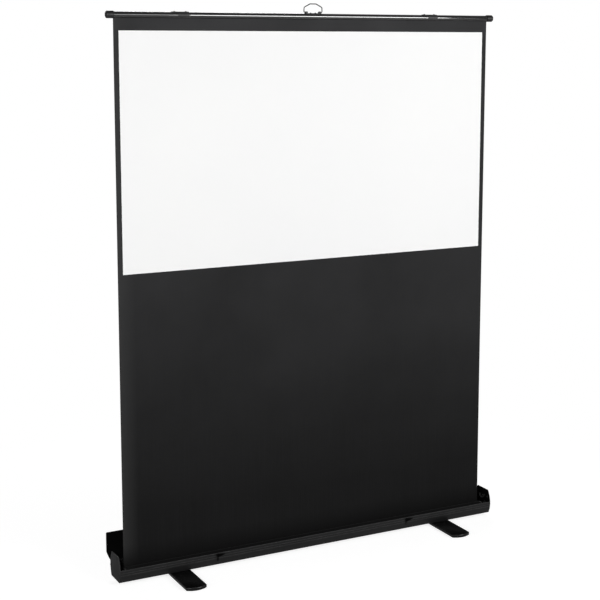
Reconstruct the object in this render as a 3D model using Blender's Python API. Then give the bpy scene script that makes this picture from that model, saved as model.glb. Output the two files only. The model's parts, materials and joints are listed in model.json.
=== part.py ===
"""Pull-up projector screen that stands on the floor.

A long base on two swivel feet holds a spring roller. Two folding arms behind the fabric carry the
top tube, and a lid that is hinged along the back of the base covers everything when it is packed.

Metres. +X is to the right seen from the front, +Y to the back and +Z up. The floor is z = 0 and the
fabric hangs in the plane y = 0. The screen is built raised, with its lid open.
"""

import math

import bmesh
import bpy
import numpy as np
from mathutils import Vector
from mathutils.geometry import tessellate_polygon

# Fits
GAP = 0.0003  # between faces that touch on the real object
RUN = 0.00008  # between a round pin and its hole, on the radius

# Picture and fabric
WHITE_WIDTH = 1.330  # viewing surface, 60 inches across its corners at 16:9
WHITE_HEIGHT = 0.750
WHITE_BOTTOM = 0.9945  # height of its lower edge above the floor
WHITE_COAT = 0.0003
SIDE_BORDER = 0.0155
TOP_BORDER = 0.038
CLOTH = 0.0006
WELT_RADIUS = 0.0020  # bead sewn into the fabric's top edge

# Feet
FOOT_WIDTH = 0.070
FOOT_HALF_LENGTH = 0.178
FOOT_BULGE = 0.012  # how far a foot's end curves out
FOOT_CORNER = 0.004
FOOT_THICKNESS = 0.010
FOOT_CHAMFER = 0.0024
FOOT_FROM_END = 0.210
SOLE = 0.0017
SOLE_INSET = 0.005
BOLT_RADIUS = 0.0040
BOLT_HEAD_RADIUS = 0.0088
BOLT_HEAD = 0.0023
NUT_RADIUS = 0.0070  # to its corners
COUNTERBORE = 0.0042

# Base housing: a barrel-shaped section, drawn from its underside
WALL = 0.0018
SHEET = 0.0016  # bent sheet steel
BASE_Y = 0.0020  # middle of the housing behind the fabric
HOUSING_HEIGHT = 0.0832
HOUSING_HALF_DEPTH = 0.0462  # at its widest
HOUSING_CORNER = 0.0025
BULGE_LEVEL = 0.0367
BULGE_RADIUS = 0.0741
FRONT_WALL = 0.0422
REAR_WALL = 0.0412
WALL_LIP = 0.0040
GROOVE_LEVELS = (0.0257, 0.0327)  # two shallow lines along the front
GROOVE_DEPTH = 0.0005
CHANNEL_LEVEL = 0.0352  # screw channels in both walls
CHANNEL_RADIUS = 0.0026
CHANNEL_SEAT = 0.73  # share of its radius that a channel stands clear of the wall
CHANNEL_OPENING = 145  # where its C ends, from the direction of the wall
SCREW_RADIUS = 0.0012
SCREW_HEAD_RADIUS = 0.0026
SCREW_HEAD = 0.0011
SCREW_LENGTH = 0.014
END_PLATE = 0.0025
END_ROOM = 0.0295  # from the fabric's edge to the outside of an end plate

# Lid and its hinge, which runs the whole length
HINGE_LEVEL = 0.0407
HINGE_STANDOFF = 0.0043
BEAD_RADIUS = 0.0022
NECK = 0.0012
NECK_ANGLE = 205
CLAW_CLEARANCE = 0.0003
CLAW_WALL = 0.0015
CLAW_ANGLES = (-45, 185)  # with the lid closed
CLAW_WALL_ANGLES = (118.5, 150.3)  # where the lid's wall leaves the claw
LID_FOOT = 0.0462  # level where the lid's wall leaves the hinge
LID_FOOT_SLANT = 0.0005  # its outside starts this much higher and its inside as much lower
LID_LIP = 0.0100
LID_CORNER = 0.003
HASP_WIDTH = 0.014
HASP_REACH = (0.0557, 0.0802)  # levels of its two ends, with the lid closed
HASP_SLOT = (0.0060, 0.0040)

# Roller and its spring
ROLLER_LEVEL = 0.0257
ROLLER_RADIUS = 0.0135
ROLLER_WALL = 0.0013
ROLLER_PAST_FABRIC = 0.0055
ROLL_TURNS = 2.2  # turns of fabric left on the roller
ROLL_PITCH = 0.00055
ROLL_CLOTH = 0.0004
PLUG_DEPTH = 0.025
PLUG_FLANGE = 0.0020
GUDGEON_RADIUS = 0.0040
SHAFT_RADIUS = 0.0030
SHAFT_LENGTH = 0.406
SHAFT_COLLAR = (0.006, 0.012)  # its two faces, from the shaft's end
BRACKET_RADIUS = 0.0120
BRACKET_FLANGE = 0.0020
BOSS_RADIUS = 0.0070
BOSS_DEPTH = 0.0077
SPRING_RADIUS = 0.0070
SPRING_WIRE = 0.0008
SPRING_TURNS = 22

# Top tube, its caps and the cradles it is lowered into
TUBE_RADIUS = 0.0095
TUBE_WALL = 0.0012
TUBE_PAST_FABRIC = 0.0150
TUBE_SLOT = 0.0014
CAP_WALL = 0.0019
CAP_OVER = 0.0145
CAP_PAST = 0.0100
CAP_EDGE = 0.0003
REST_LEVEL = 0.0612  # the tube's axis when it is lowered
REST_CLEARANCE = 0.0004
REST_WALL = 0.0020
REST_DEPTH = 0.0060
REST_PLATE = 0.0012
REST_RIM = 0.0020  # how far its plate rises past the tube's axis
REST_TAB = (-0.0292, -0.0037)  # centre of its rivet, from the tube's axis
REST_TAB_RADIUS = 0.0040

# Folding arms
ARM_FROM_END = 0.255
ARM_WIDTH = 0.018
ARM_THICKNESS = 0.0045
ARM_SPACE = 0.0040  # between the two arms of a pair
ARM_STACK_Y = {"left": 0.0075, "right": 0.0240}  # front face of each upper arm
ARM_POCKET_WIDTH = 0.009
ARM_POCKET_DEPTH = 0.0011
BASE_PIVOT_LEVEL = 0.0177
TOP_PIVOT_DROP = 0.022  # below the tube's axis
PIN_RADIUS = 0.0030
PIN_HEAD_RADIUS = 0.0060
SMALL_HEAD_RADIUS = 0.0050
COLLAR_RADIUS = 0.0065
PIN_HEAD = 0.0012
PIN_TAIL = 0.0010
BRACKET_HALF_LENGTH = 0.019
BRACKET_TOE = 0.002  # how far its plate runs on in front of the upper arm
BRACKET_SCREW_X = 0.0145
BRACKET_SCREW_HEAD = 0.0014
LUG_SPACE = 0.0005
LUG_FLARE = 0.001

# Clips that hang the arms on the tube
CLIP_SHEET = 0.0012
CLIP_SADDLE = (-0.0150, 0.0190)  # its two ends, from the arm's middle
CLIP_TONGUE = 0.023  # how far the top strip runs on past the saddle
CLIP_FLARE = 0.004  # where the strip widens into the saddle
TONGUE_ANGLES = (135, 45)  # edges of the strip and of the saddle round the tube
SADDLE_ANGLES = (215, -32)
CLIP_LEG_WIDTH = 0.017
CLIP_LEG_DROP = 0.0038  # from the tube's axis to where the leg starts
CLIP_RIVETS = (-0.0285, 0.0100)
CLIP_DIMPLES = (-0.0140, -0.0045)
DIMPLE_RADIUS = 0.0022
DIMPLE_RISE = 0.0011
RIVET_RADIUS = 0.0016
RIVET_HEAD_RADIUS = 0.0028
RIVET_HEAD = 0.0015

# Carry handle
HANDLE_HALF_LENGTH = 0.030
HANDLE_ANGLES = (134, 46)  # edges of its strip round the tube
HANDLE_RIVET_X = 0.0086
HANDLE_EAR_X = 0.0248
HANDLE_EAR = 0.0085
HANDLE_EAR_RADIUS = 0.0031
HANDLE_AXIS_RISE = 0.0040  # above the tube's top
HANDLE_WIRE = 0.00175
HANDLE_SHOULDER_X = 0.0330
HANDLE_SHOULDER_RISE = 0.0157
HANDLE_GRIP_X = 0.0114
HANDLE_GRIP_RISE = 0.0270
HANDLE_TURNS = (0.0035, 0.0060, 0.0080)  # radii of its bends, from an ear to the grip

# Latches: a keeper on the front wall and a hook that turns on it
LATCH_FROM_END = 0.348
LATCH_SHIFT = 0.0102  # both latches are the same hand, so both keepers stand left of their place
KEEPER_WIDTH = 0.0065
KEEPER_LEVELS = (0.0162, 0.0417)
KEEPER_THICKNESS = 0.0022
LATCH_PIN_LEVEL = 0.0362
LATCH_PIN_RADIUS = 0.0025
LATCH_HEAD_RADIUS = 0.0042
LATCH_HEAD = 0.0013
HOOK_LENGTH = 0.024
HOOK_RADIUS = 0.0060
HOOK_THICKNESS = 0.0026
HOOK_NOSE_RADIUS = 0.0013
HOOK_NOSE = 0.0018
HOOK_NOSE_PLACE = (-0.0035, 0.0014)  # from the hook's tip
HOOK_POINT = ((-0.0070, -0.0010), (0.0, 0.0012), (-0.0010, 0.0032))  # from its tip

# Places worked out from the sizes above
FABRIC_HALF = WHITE_WIDTH / 2 + SIDE_BORDER
BASE_HALF = FABRIC_HALF + END_ROOM
INSIDE_HALF = BASE_HALF - END_PLATE
TUBE_HALF = FABRIC_HALF + TUBE_PAST_FABRIC
ROLLER_HALF = FABRIC_HALF + ROLLER_PAST_FABRIC
FOOT_X = BASE_HALF - FOOT_FROM_END
ARM_X = BASE_HALF - ARM_FROM_END
LATCH_X = BASE_HALF - LATCH_FROM_END

FOOT_Z = SOLE + GAP
BASE_Z = FOOT_Z + FOOT_THICKNESS + GAP
FLOOR_Z = BASE_Z + WALL
HOUSING_TOP = BASE_Z + HOUSING_HEIGHT
CHANNEL_Z = BASE_Z + CHANNEL_LEVEL
HINGE_Y = BASE_Y + HOUSING_HALF_DEPTH + HINGE_STANDOFF
HINGE_Z = BASE_Z + HINGE_LEVEL
CLAW_RADIUS = BEAD_RADIUS + CLAW_CLEARANCE
ROLL_INNER = ROLLER_RADIUS + GAP
ROLL_OUTER = ROLL_INNER + ROLL_TURNS * ROLL_PITCH + ROLL_CLOTH
ROLLER_Y = -ROLL_OUTER
ROLLER_Z = BASE_Z + ROLLER_LEVEL
ROLLER_BORE = ROLLER_RADIUS - ROLLER_WALL
SHAFT_START = -(INSIDE_HALF - GAP - BRACKET_FLANGE / 2 - GAP)
SHAFT_END = SHAFT_START + SHAFT_LENGTH
WHITE_TOP = WHITE_BOTTOM + WHITE_HEIGHT
TUBE_Z = WHITE_TOP + TOP_BORDER + TUBE_RADIUS
TUBE_BORE = TUBE_RADIUS - TUBE_WALL
CAP_RADIUS = TUBE_RADIUS + RUN + CAP_WALL
REST_Z = BASE_Z + REST_LEVEL
BASE_PIVOT_Z = BASE_Z + BASE_PIVOT_LEVEL
TOP_PIVOT_Z = TUBE_Z - TOP_PIVOT_DROP
ELBOW_Z = (BASE_PIVOT_Z + TOP_PIVOT_Z) / 2
SADDLE_RADIUS = TUBE_RADIUS + GAP
SADDLE_OUTER = SADDLE_RADIUS + CLIP_SHEET
HANDLE_AXIS_Z = TUBE_Z + TUBE_RADIUS + HANDLE_AXIS_RISE
LATCH_PIN_Z = BASE_Z + LATCH_PIN_LEVEL
HOOK_BACK = BASE_Y - HOUSING_HALF_DEPTH - 3 * GAP - KEEPER_THICKNESS

FINISHES = {
    "black_paint": ((0.020, 0.020, 0.021), 0.42, 0.0),
    "gloss_paint": ((0.012, 0.012, 0.013), 0.22, 0.0),
    "black_plastic": ((0.014, 0.014, 0.014), 0.50, 0.0),
    "rubber": ((0.010, 0.010, 0.010), 0.85, 0.0),
    "steel": ((0.42, 0.42, 0.43), 0.35, 1.0),
    "aluminium": ((0.60, 0.60, 0.61), 0.32, 1.0),
    "black_cloth": ((0.011, 0.011, 0.012), 0.90, 0.0),
    "white_cloth": ((0.86, 0.86, 0.86), 0.80, 0.0),
}

# World axes of an extrusion: the one it runs along, then those of its outline
AXES = {"X": [0, 1, 2], "Y": [1, 0, 2], "Z": [2, 0, 1]}


def at(axis, along, plane):
    """World points for outline coordinates, at one place along an axis."""
    plane = np.asarray(plane, dtype=float)
    points = np.empty((len(plane), 3))
    points[:, AXES[axis][0]] = along
    points[:, AXES[axis][1:]] = plane
    return points


def arc(centre, radius, start, end, steps):
    """Points on an arc between two angles in degrees, both ends included."""
    angles = np.radians(np.linspace(start, end, steps + 1))
    across = centre[0] + radius * np.cos(angles)
    up = centre[1] + radius * np.sin(angles)
    return np.column_stack([across, up])


def circle(centre, radius, sides):
    return arc(centre, radius, 0, 360, sides)[:-1]


def rounded(corners, steps=4):
    """Outline through corners (u, v, radius), each turned on its own radius."""
    outline = []
    for index, (across, up, radius) in enumerate(corners):
        corner = np.array([across, up])
        if not radius:
            outline.append(corner)
            continue
        before = np.array(corners[index - 1][:2]) - corner
        after = np.array(corners[(index + 1) % len(corners)][:2]) - corner
        before /= np.linalg.norm(before)
        after /= np.linalg.norm(after)
        half = math.acos(np.dot(before, after)) / 2
        middle = (before + after) / np.linalg.norm(before + after)
        centre = corner + middle * radius / math.sin(half)
        first = corner + before * radius / math.tan(half) - centre
        last = corner + after * radius / math.tan(half) - centre
        turn = math.atan2(first[0] * last[1] - first[1] * last[0], np.dot(first, last))
        start = math.degrees(math.atan2(first[1], first[0]))
        outline.extend(arc(centre, radius, start, start + math.degrees(turn), steps))
    return np.array(outline)


def slot_outline(low, high, radius, across=0.0, steps=10):
    """Bar with round ends, from the centre of one end at v = low to the other at v = high."""
    return np.vstack(
        [
            arc((across, high), radius, 0, 180, steps),
            arc((across, low), radius, 180, 360, steps),
        ]
    )


def loft(rings, hollow=False):
    """Skin through rings of equally many points. A hollow one joins its last ring to its first."""
    count = len(rings[0])
    faces = []
    for ring in range(len(rings) if hollow else len(rings) - 1):
        low = ring * count
        high = (ring + 1) % len(rings) * count
        for point in range(count):
            after = (point + 1) % count
            faces.append((low + point, low + after, high + after, high + point))
    if not hollow:
        faces.append(tuple(range(count)))
        faces.append(tuple(range((len(rings) - 1) * count, len(rings) * count)))
    return np.vstack(rings), faces


def fill(loops):
    """Triangles between an outline and the loops inside it."""
    # Millimetres, because the fill merges points that lie closer than its own tolerance
    return tessellate_polygon([[Vector((*point, 0)) * 1000 for point in loop] for loop in loops])


def prism(outline, axis, low, high, holes=(), pockets=(), depth=0.0):
    """Outline extruded along an axis, with holes through it and pockets of one depth in both faces."""
    loops = [np.asarray(loop) for loop in (outline, *holes, *pockets)]
    plane = np.vstack(loops)
    count = len(plane)
    through = len(loops) - len(pockets)
    faces = []
    start = 0
    for loop in loops[:through]:
        for point in range(len(loop)):
            here = start + point
            after = start + (point + 1) % len(loop)
            faces.append((here, after, after + count, here + count))
        start += len(loop)
    caps = fill(loops) if len(loops) > 1 else [tuple(range(count))]
    for cap in caps:
        faces.append(tuple(cap))
        faces.append(tuple(point + count for point in cap))
    points = [at(axis, low, plane), at(axis, high, plane)]
    inward = math.copysign(depth, high - low)
    made = 2 * count
    for loop in loops[through:]:
        for face_start, place in ((start, low + inward), (start + count, high - inward)):
            points.append(at(axis, place, loop))
            for point in range(len(loop)):
                after = (point + 1) % len(loop)
                faces.append((face_start + point, face_start + after, made + after, made + point))
            faces.append(tuple(range(made, made + len(loop))))
            made += len(loop)
        start += len(loop)
    return np.vstack(points), faces


def box(low, high):
    outline = [(low[0], low[1]), (high[0], low[1]), (high[0], high[1]), (low[0], high[1])]
    return prism(outline, "Z", low[2], high[2])


def turned(profile, axis, centre, sides=20, hollow=False):
    """Profile of (place along the axis, radius) turned about the axis."""
    return loft([at(axis, along, circle(centre, radius, sides)) for along, radius in profile], hollow)


def sweep(path, radius, sides):
    """Round wire of one radius along a path, with a frame that doesn't twist."""
    tangents = np.gradient(path, axis=0)
    tangents /= np.linalg.norm(tangents, axis=1)[:, None]
    angles = 2 * math.pi * np.arange(sides)[:, None] / sides
    side = np.cross(tangents[0], (0.31, 0.87, 0.37))
    rings = []
    for point, tangent in zip(path, tangents):
        side = side - tangent * np.dot(side, tangent)
        side /= np.linalg.norm(side)
        rings.append(point + radius * (np.cos(angles) * side + np.sin(angles) * np.cross(tangent, side)))
    return loft(rings)


def bent_strip(path, half_widths, thickness, x):
    """Strip bent along a path in the (y, z) plane, with its own half width at each point."""
    path = np.asarray(path)
    tangents = np.gradient(path, axis=0)
    tangents /= np.linalg.norm(tangents, axis=1)[:, None]
    offsets = np.column_stack([-tangents[:, 1], tangents[:, 0]]) * thickness / 2
    rings = []
    for point, offset, half in zip(path, offsets, half_widths):
        inner = point - offset
        outer = point + offset
        rings.append(
            np.array([(x - half, *inner), (x + half, *inner), (x + half, *outer), (x - half, *outer)])
        )
    return loft(rings)


def principled(name, finish):
    colour, roughness, metallic = FINISHES[finish]
    material = bpy.data.materials.new(name)
    material.use_nodes = True
    shader = material.node_tree.nodes["Principled BSDF"]
    shader.inputs["Base Color"].default_value = (*colour, 1)
    shader.inputs["Roughness"].default_value = roughness
    shader.inputs["Metallic"].default_value = metallic
    return material


def mesh_object(name, shape, pivot=(0, 0, 0)):
    """Object whose origin is the pivot, with its faces pointing outwards."""
    points, faces = shape
    mesh = bpy.data.meshes.new(name)
    mesh.from_pydata((points - np.array(pivot)).tolist(), [], faces)
    surface = bmesh.new()
    surface.from_mesh(mesh)
    bmesh.ops.recalc_face_normals(surface, faces=surface.faces)
    surface.to_mesh(mesh)
    surface.free()
    mesh.shade_smooth()
    mesh.set_sharp_from_angle(angle=math.radians(32))
    made = bpy.data.objects.new(name, mesh)
    made.location = pivot
    bpy.context.scene.collection.objects.link(made)
    return made


def solid(name, shape, finish, pivot=(0, 0, 0), add=(), cut=()):
    """One sub-part: a shape, the shapes joined to it and those cut out of it."""
    made = mesh_object(name, shape, pivot)
    made.data.materials.append(principled(name, finish))
    for operation, shapes in (("UNION", add), ("DIFFERENCE", cut)):
        for index, other in enumerate(shapes):
            tool = mesh_object(f"{name}_{operation.lower()}_{index}", other)
            tool.hide_render = True
            tool.display_type = "WIRE"
            modifier = made.modifiers.new(tool.name, "BOOLEAN")
            modifier.solver = "EXACT"
            modifier.operation = operation
            modifier.object = tool
    return made


# Base housing


def half_depth(z):
    """Half the depth of the barrel-shaped housing at a height."""
    return HOUSING_HALF_DEPTH - (z - BASE_Z - BULGE_LEVEL) ** 2 / (2 * BULGE_RADIUS)


def wall(side, low, high, inset=0.0, steps=6):
    """Corners up the front (side -1) or back (side 1) wall, the inset inside its outer face."""
    return [(BASE_Y + side * (half_depth(z) - inset), z, 0) for z in np.linspace(low, high, steps + 1)]


def with_radius(corner, radius):
    return (corner[0], corner[1], radius)


def screw_place(side):
    """Centre (y, z) of the screw channel in a wall."""
    return BASE_Y + side * (half_depth(CHANNEL_Z) - WALL - CHANNEL_SEAT * CHANNEL_RADIUS), CHANNEL_Z


def inner_wall(side, top):
    """Corners down the inside of a wall, round its C-shaped screw channel, to the floor."""
    centre = screw_place(1)
    root = math.degrees(math.acos(CHANNEL_SEAT))
    bore = SCREW_RADIUS + 2 * RUN
    channel = np.vstack(
        [
            arc(centre, CHANNEL_RADIUS, root, CHANNEL_OPENING, 6),
            arc(centre, bore, CHANNEL_OPENING, -CHANNEL_OPENING, 12),
            arc(centre, CHANNEL_RADIUS, -CHANNEL_OPENING, -root, 6),
        ]
    )
    rise = CHANNEL_RADIUS * math.sin(math.radians(root)) + GAP
    upper = wall(1, CHANNEL_Z + rise, top, WALL, 2)[::-1]
    lower = wall(1, FLOOR_Z, CHANNEL_Z - rise, WALL, 5)[::-1]
    corners = upper + [(*point, 0) for point in channel] + lower
    return [(BASE_Y + side * (y - BASE_Y), z, radius) for y, z, radius in corners]


def hinge_bead():
    """Corners out along the neck, round the hinge bead and back to the rear wall."""
    half_angle = math.degrees(math.asin(NECK / 2 / BEAD_RADIUS))
    start = NECK_ANGLE + half_angle
    bead = arc((HINGE_Y, HINGE_Z), BEAD_RADIUS, start, start + 360 - 2 * half_angle, 18)
    slope = math.tan(math.radians(NECK_ANGLE))
    roots = []
    for y, z in (bead[0], bead[-1]):
        root_z = z - (y - BASE_Y - HOUSING_HALF_DEPTH) * slope
        roots.append((BASE_Y + half_depth(root_z), root_z, 0))
    return [roots[0], *[(*point, 0) for point in bead], roots[1]]


def trough_section():
    """Section of the base: floor, back wall with the hinge bead, and grooved front wall."""
    rear_top = BASE_Z + REAR_WALL
    front_top = BASE_Z + FRONT_WALL
    bead = hinge_bead()
    rear = wall(1, BASE_Z, bead[0][1] - 2 * GAP, 0, 7)
    rear[0] = with_radius(rear[0], HOUSING_CORNER)
    above_bead = wall(1, bead[-1][1] + GAP, rear_top, 0, 1)
    front = []
    low = BASE_Z
    for level in GROOVE_LEVELS:
        front += wall(-1, low, BASE_Z + level - GROOVE_DEPTH, 0, 3)
        front += wall(-1, BASE_Z + level, BASE_Z + level, GROOVE_DEPTH, 0)
        low = BASE_Z + level + GROOVE_DEPTH
    front += wall(-1, low, front_top, 0, 3)
    front[0] = with_radius(front[0], HOUSING_CORNER)
    lip_y = front[-1][0] + WALL_LIP
    lip = [
        (lip_y, front_top - 0.8 * WALL, 0),
        (lip_y, front_top, WALL / 3),
        with_radius(front[-1], WALL / 2),
    ]
    inside_front = inner_wall(-1, front_top - 0.8 * WALL)[::-1]
    corners = rear + bead + above_bead + inner_wall(1, rear_top) + inside_front + lip + front[-2::-1]
    return rounded(corners, 3)


def base_trough():
    drill = [(BASE_Z - WALL, BOLT_RADIUS + RUN), (FLOOR_Z + WALL, BOLT_RADIUS + RUN)]
    holes = [turned(drill, "Z", (side * FOOT_X, 0)) for side in (-1, 1)]
    length = INSIDE_HALF - GAP
    solid("base_trough", prism(trough_section(), "X", -length, length), "black_paint", cut=holes)


def end_plate(name, side):
    """Plate with the whole outline of the closed housing, drilled for its two screws."""
    front = wall(-1, BASE_Z, HOUSING_TOP, 0, 14)
    rear = wall(1, BASE_Z, HOUSING_TOP, 0, 14)
    for corners in (front, rear):
        corners[0] = with_radius(corners[0], HOUSING_CORNER)
        corners[-1] = with_radius(corners[-1], LID_CORNER)
    outline = rounded(rear + front[::-1], 4)
    holes = [circle(screw_place(way), SCREW_RADIUS + RUN, 12)[::-1] for way in (-1, 1)]
    solid(name, prism(outline, "X", side * INSIDE_HALF, side * BASE_HALF, holes), "black_paint")


def plate_screw(name, side, way):
    outer = BASE_HALF + GAP
    profile = [
        (outer + SCREW_HEAD, 0.4 * SCREW_HEAD_RADIUS),
        (outer + 0.75 * SCREW_HEAD, 0.85 * SCREW_HEAD_RADIUS),
        (outer + 0.25 * SCREW_HEAD, SCREW_HEAD_RADIUS),
        (outer, SCREW_HEAD_RADIUS),
        (outer, SCREW_RADIUS),
        (outer - SCREW_LENGTH, SCREW_RADIUS),
    ]
    solid(name, turned([(side * x, r) for x, r in profile], "X", screw_place(way), 12), "black_paint")


def foot_outline(inset):
    """Long bar whose two ends curve outwards, drawn the inset inside its edge."""
    half_width = FOOT_WIDTH / 2 - inset
    end = FOOT_HALF_LENGTH - inset
    shoulder = end - FOOT_BULGE
    radius = (half_width**2 + FOOT_BULGE**2) / (2 * FOOT_BULGE)
    half_angle = math.degrees(math.asin(half_width / radius))
    back = arc((0, end - radius), radius, 90 - half_angle, 90 + half_angle, 12)
    corners = [(*point, 0) for point in back]
    corners[0] = (half_width, shoulder, FOOT_CORNER)
    corners[-1] = (-half_width, shoulder, FOOT_CORNER)
    front = [(-across, -along, turn) for across, along, turn in corners]
    return rounded(corners + front, 3)


def foot_ring(x, inset, z):
    return at("Z", z, foot_outline(inset) + np.array([x, 0]))


def foot(name, side):
    x = side * FOOT_X
    top = FOOT_Z + FOOT_THICKNESS
    rings = [
        foot_ring(x, 0.3 * FOOT_CHAMFER, FOOT_Z),
        foot_ring(x, 0, FOOT_Z + 0.3 * FOOT_CHAMFER),
        foot_ring(x, 0, top - 0.9 * FOOT_CHAMFER),
        foot_ring(x, 0.35 * FOOT_CHAMFER, top - 0.3 * FOOT_CHAMFER),
        foot_ring(x, FOOT_CHAMFER, top),
    ]
    bore = turned(
        [
            (FOOT_Z - SOLE, BOLT_HEAD_RADIUS + 2 * GAP),
            (FOOT_Z + COUNTERBORE, BOLT_HEAD_RADIUS + 2 * GAP),
            (FOOT_Z + COUNTERBORE, BOLT_RADIUS + RUN),
            (top + SOLE, BOLT_RADIUS + RUN),
        ],
        "Z",
        (x, 0),
    )
    pivot = (x, 0, FOOT_Z)
    solid(name, loft(rings), "black_plastic", pivot, cut=[bore])
    sole = prism(foot_outline(SOLE_INSET) + np.array([x, 0]), "Z", 0, SOLE)
    solid(name.replace("foot", "foot_sole"), sole, "rubber", pivot)


def foot_bolt(name, side):
    """Bolt up through the foot and the base floor, with its nut inside the base."""
    x = side * FOOT_X
    head_top = FOOT_Z + COUNTERBORE - GAP
    nut_z = FLOOR_Z + GAP
    angles = np.radians(15.0 * np.arange(24))
    flat = NUT_RADIUS * math.cos(math.radians(30))
    nut_radii = flat / np.cos((angles + math.radians(30)) % math.radians(60) - math.radians(30))
    nut = np.column_stack([x + nut_radii * np.cos(angles), nut_radii * np.sin(angles)])
    shank = circle((x, 0), BOLT_RADIUS, 24)
    rings = [
        at("Z", head_top - BOLT_HEAD, circle((x, 0), BOLT_HEAD_RADIUS, 24)),
        at("Z", head_top, circle((x, 0), BOLT_HEAD_RADIUS, 24)),
        at("Z", head_top, shank),
        at("Z", nut_z, shank),
        at("Z", nut_z, nut),
        at("Z", nut_z + SHEET, nut),
        at("Z", nut_z + SHEET, circle((x, 0), 0.98 * BOLT_RADIUS, 24)),
        at("Z", nut_z + 1.8 * SHEET, circle((x, 0), 0.95 * BOLT_RADIUS, 24)),
    ]
    solid(name, loft(rings), "steel", (x, 0, FOOT_Z))


# Lid


def opened(section):
    """The lid's section turned from closed to open, a quarter turn about the hinge."""
    y, z = np.asarray(section).T
    return np.column_stack([HINGE_Y + (z - HINGE_Z), HINGE_Z - (y - HINGE_Y)])


def lid():
    """Extrusion drawn closed: a claw round the hinge bead, rear wall, flat top and short front lip."""
    lip_end = HOUSING_TOP - LID_LIP
    hinge = (HINGE_Y, HINGE_Z)
    outer = CLAW_RADIUS + CLAW_WALL
    outside_rear = wall(1, BASE_Z + LID_FOOT + LID_FOOT_SLANT, HOUSING_TOP, 0, 5)
    outside_front = wall(-1, lip_end, HOUSING_TOP, 0, 2)
    inside_front = wall(-1, lip_end + WALL, HOUSING_TOP - WALL, WALL, 2)
    inside_rear = wall(1, BASE_Z + LID_FOOT - LID_FOOT_SLANT, HOUSING_TOP - WALL, WALL, 5)
    for corners in (outside_rear, outside_front):
        corners[-1] = with_radius(corners[-1], LID_CORNER)
    for corners in (inside_rear, inside_front):
        corners[-1] = with_radius(corners[-1], LID_CORNER - WALL / 2)
    hook_y = outside_front[0][0] + 2 * WALL
    hook = [with_radius(outside_front[0], WALL / 3), (hook_y, lip_end, WALL / 4), (hook_y, lip_end + WALL, 0)]
    claw_out = arc(hinge, outer, CLAW_ANGLES[0], CLAW_WALL_ANGLES[0], 12)
    claw_end = arc(hinge, outer, CLAW_WALL_ANGLES[1], CLAW_ANGLES[1], 3)
    claw_in = arc(hinge, CLAW_RADIUS, CLAW_ANGLES[1], CLAW_ANGLES[0], 18)
    corners = [(*point, 0) for point in claw_out]
    corners += outside_rear + outside_front[:0:-1] + hook + inside_front + inside_rear[::-1]
    corners += [(*point, 0) for point in np.vstack([claw_end, claw_in])]
    length = INSIDE_HALF - 2 * GAP
    section = opened(rounded(corners, 4))
    solid("lid", prism(section, "X", -length, length), "black_paint", (0, HINGE_Y, HINGE_Z))


def lid_hasp(name, x):
    """Plate over the lid's lip, with the slot that the hook's nose drops into."""
    low, high = (BASE_Z + level for level in HASP_REACH)
    outer = [point[:2] for point in wall(-1, low, high, -GAP - SHEET, 5)]
    inner = [point[:2] for point in wall(-1, low, high, -GAP, 5)]
    section = opened(np.array(outer + inner[::-1]))
    slot_z = LATCH_PIN_Z + HOOK_LENGTH + HOOK_NOSE_PLACE[0]
    slot_y = BASE_Y - half_depth(slot_z)
    half_wide, half_high = (size / 2 for size in HASP_SLOT)
    depth = 3 * SHEET
    corners = opened([(slot_y - depth, slot_z - half_high), (slot_y + depth, slot_z + half_high)])
    slot = box((x - half_wide, *np.min(corners, axis=0)), (x + half_wide, *np.max(corners, axis=0)))
    plate = prism(section, "X", x - HASP_WIDTH / 2, x + HASP_WIDTH / 2)
    solid(name, plate, "steel", (0, HINGE_Y, HINGE_Z), cut=[slot])


# Roller


def roller_tube():
    profile = [
        (-ROLLER_HALF, ROLLER_RADIUS),
        (ROLLER_HALF, ROLLER_RADIUS),
        (ROLLER_HALF, ROLLER_BORE),
        (-ROLLER_HALF, ROLLER_BORE),
    ]
    shape = turned(profile, "X", (ROLLER_Y, ROLLER_Z), 32, hollow=True)
    solid("roller_tube", shape, "aluminium", (0, ROLLER_Y, ROLLER_Z))


def fabric_roll():
    """Spiral of the fabric that stays on the roller, ending at the back where the sheet goes up."""
    end = -math.asin(GAP / ROLL_OUTER)
    steps = round(32 * ROLL_TURNS)
    angles = np.linspace(end - 2 * math.pi * ROLL_TURNS, end, steps + 1)
    inner = (ROLL_OUTER - ROLL_CLOTH - ROLL_PITCH * (end - angles) / (2 * math.pi))[:, None]
    turns = np.column_stack([np.cos(angles), np.sin(angles)])
    centre = np.array([ROLLER_Y, ROLLER_Z])
    section = np.vstack([centre + turns * inner, centre + (turns * (inner + ROLL_CLOTH))[::-1]])
    shape = prism(section, "X", -FABRIC_HALF, FABRIC_HALF)
    solid("fabric_roll", shape, "black_cloth", (0, ROLLER_Y, ROLLER_Z))


def roller_plugs():
    """Plugs in the roller's ends. The left one turns on the fixed shaft, the right one on its gudgeon."""
    insert = ROLLER_BORE - RUN
    flange_in = ROLLER_HALF + GAP
    flange_out = flange_in + PLUG_FLANGE
    body = [
        (ROLLER_HALF - PLUG_DEPTH, insert),
        (flange_in, insert),
        (flange_in, ROLLER_RADIUS),
        (flange_out, ROLLER_RADIUS),
    ]
    bore = SHAFT_RADIUS + RUN
    left = [(-x, r) for x, r in body] + [(-flange_out, bore), (-ROLLER_HALF + PLUG_DEPTH, bore)]
    gudgeon_end = INSIDE_HALF - BRACKET_FLANGE - GAP
    right = body + [(flange_out, GUDGEON_RADIUS), (gudgeon_end, GUDGEON_RADIUS)]
    centre = (ROLLER_Y, ROLLER_Z)
    pivot = (0, *centre)
    solid("roller_plug_left", turned(left, "X", centre, hollow=True), "black_plastic", pivot)
    solid("roller_plug_right", turned(right, "X", centre), "black_plastic", pivot)


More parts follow.
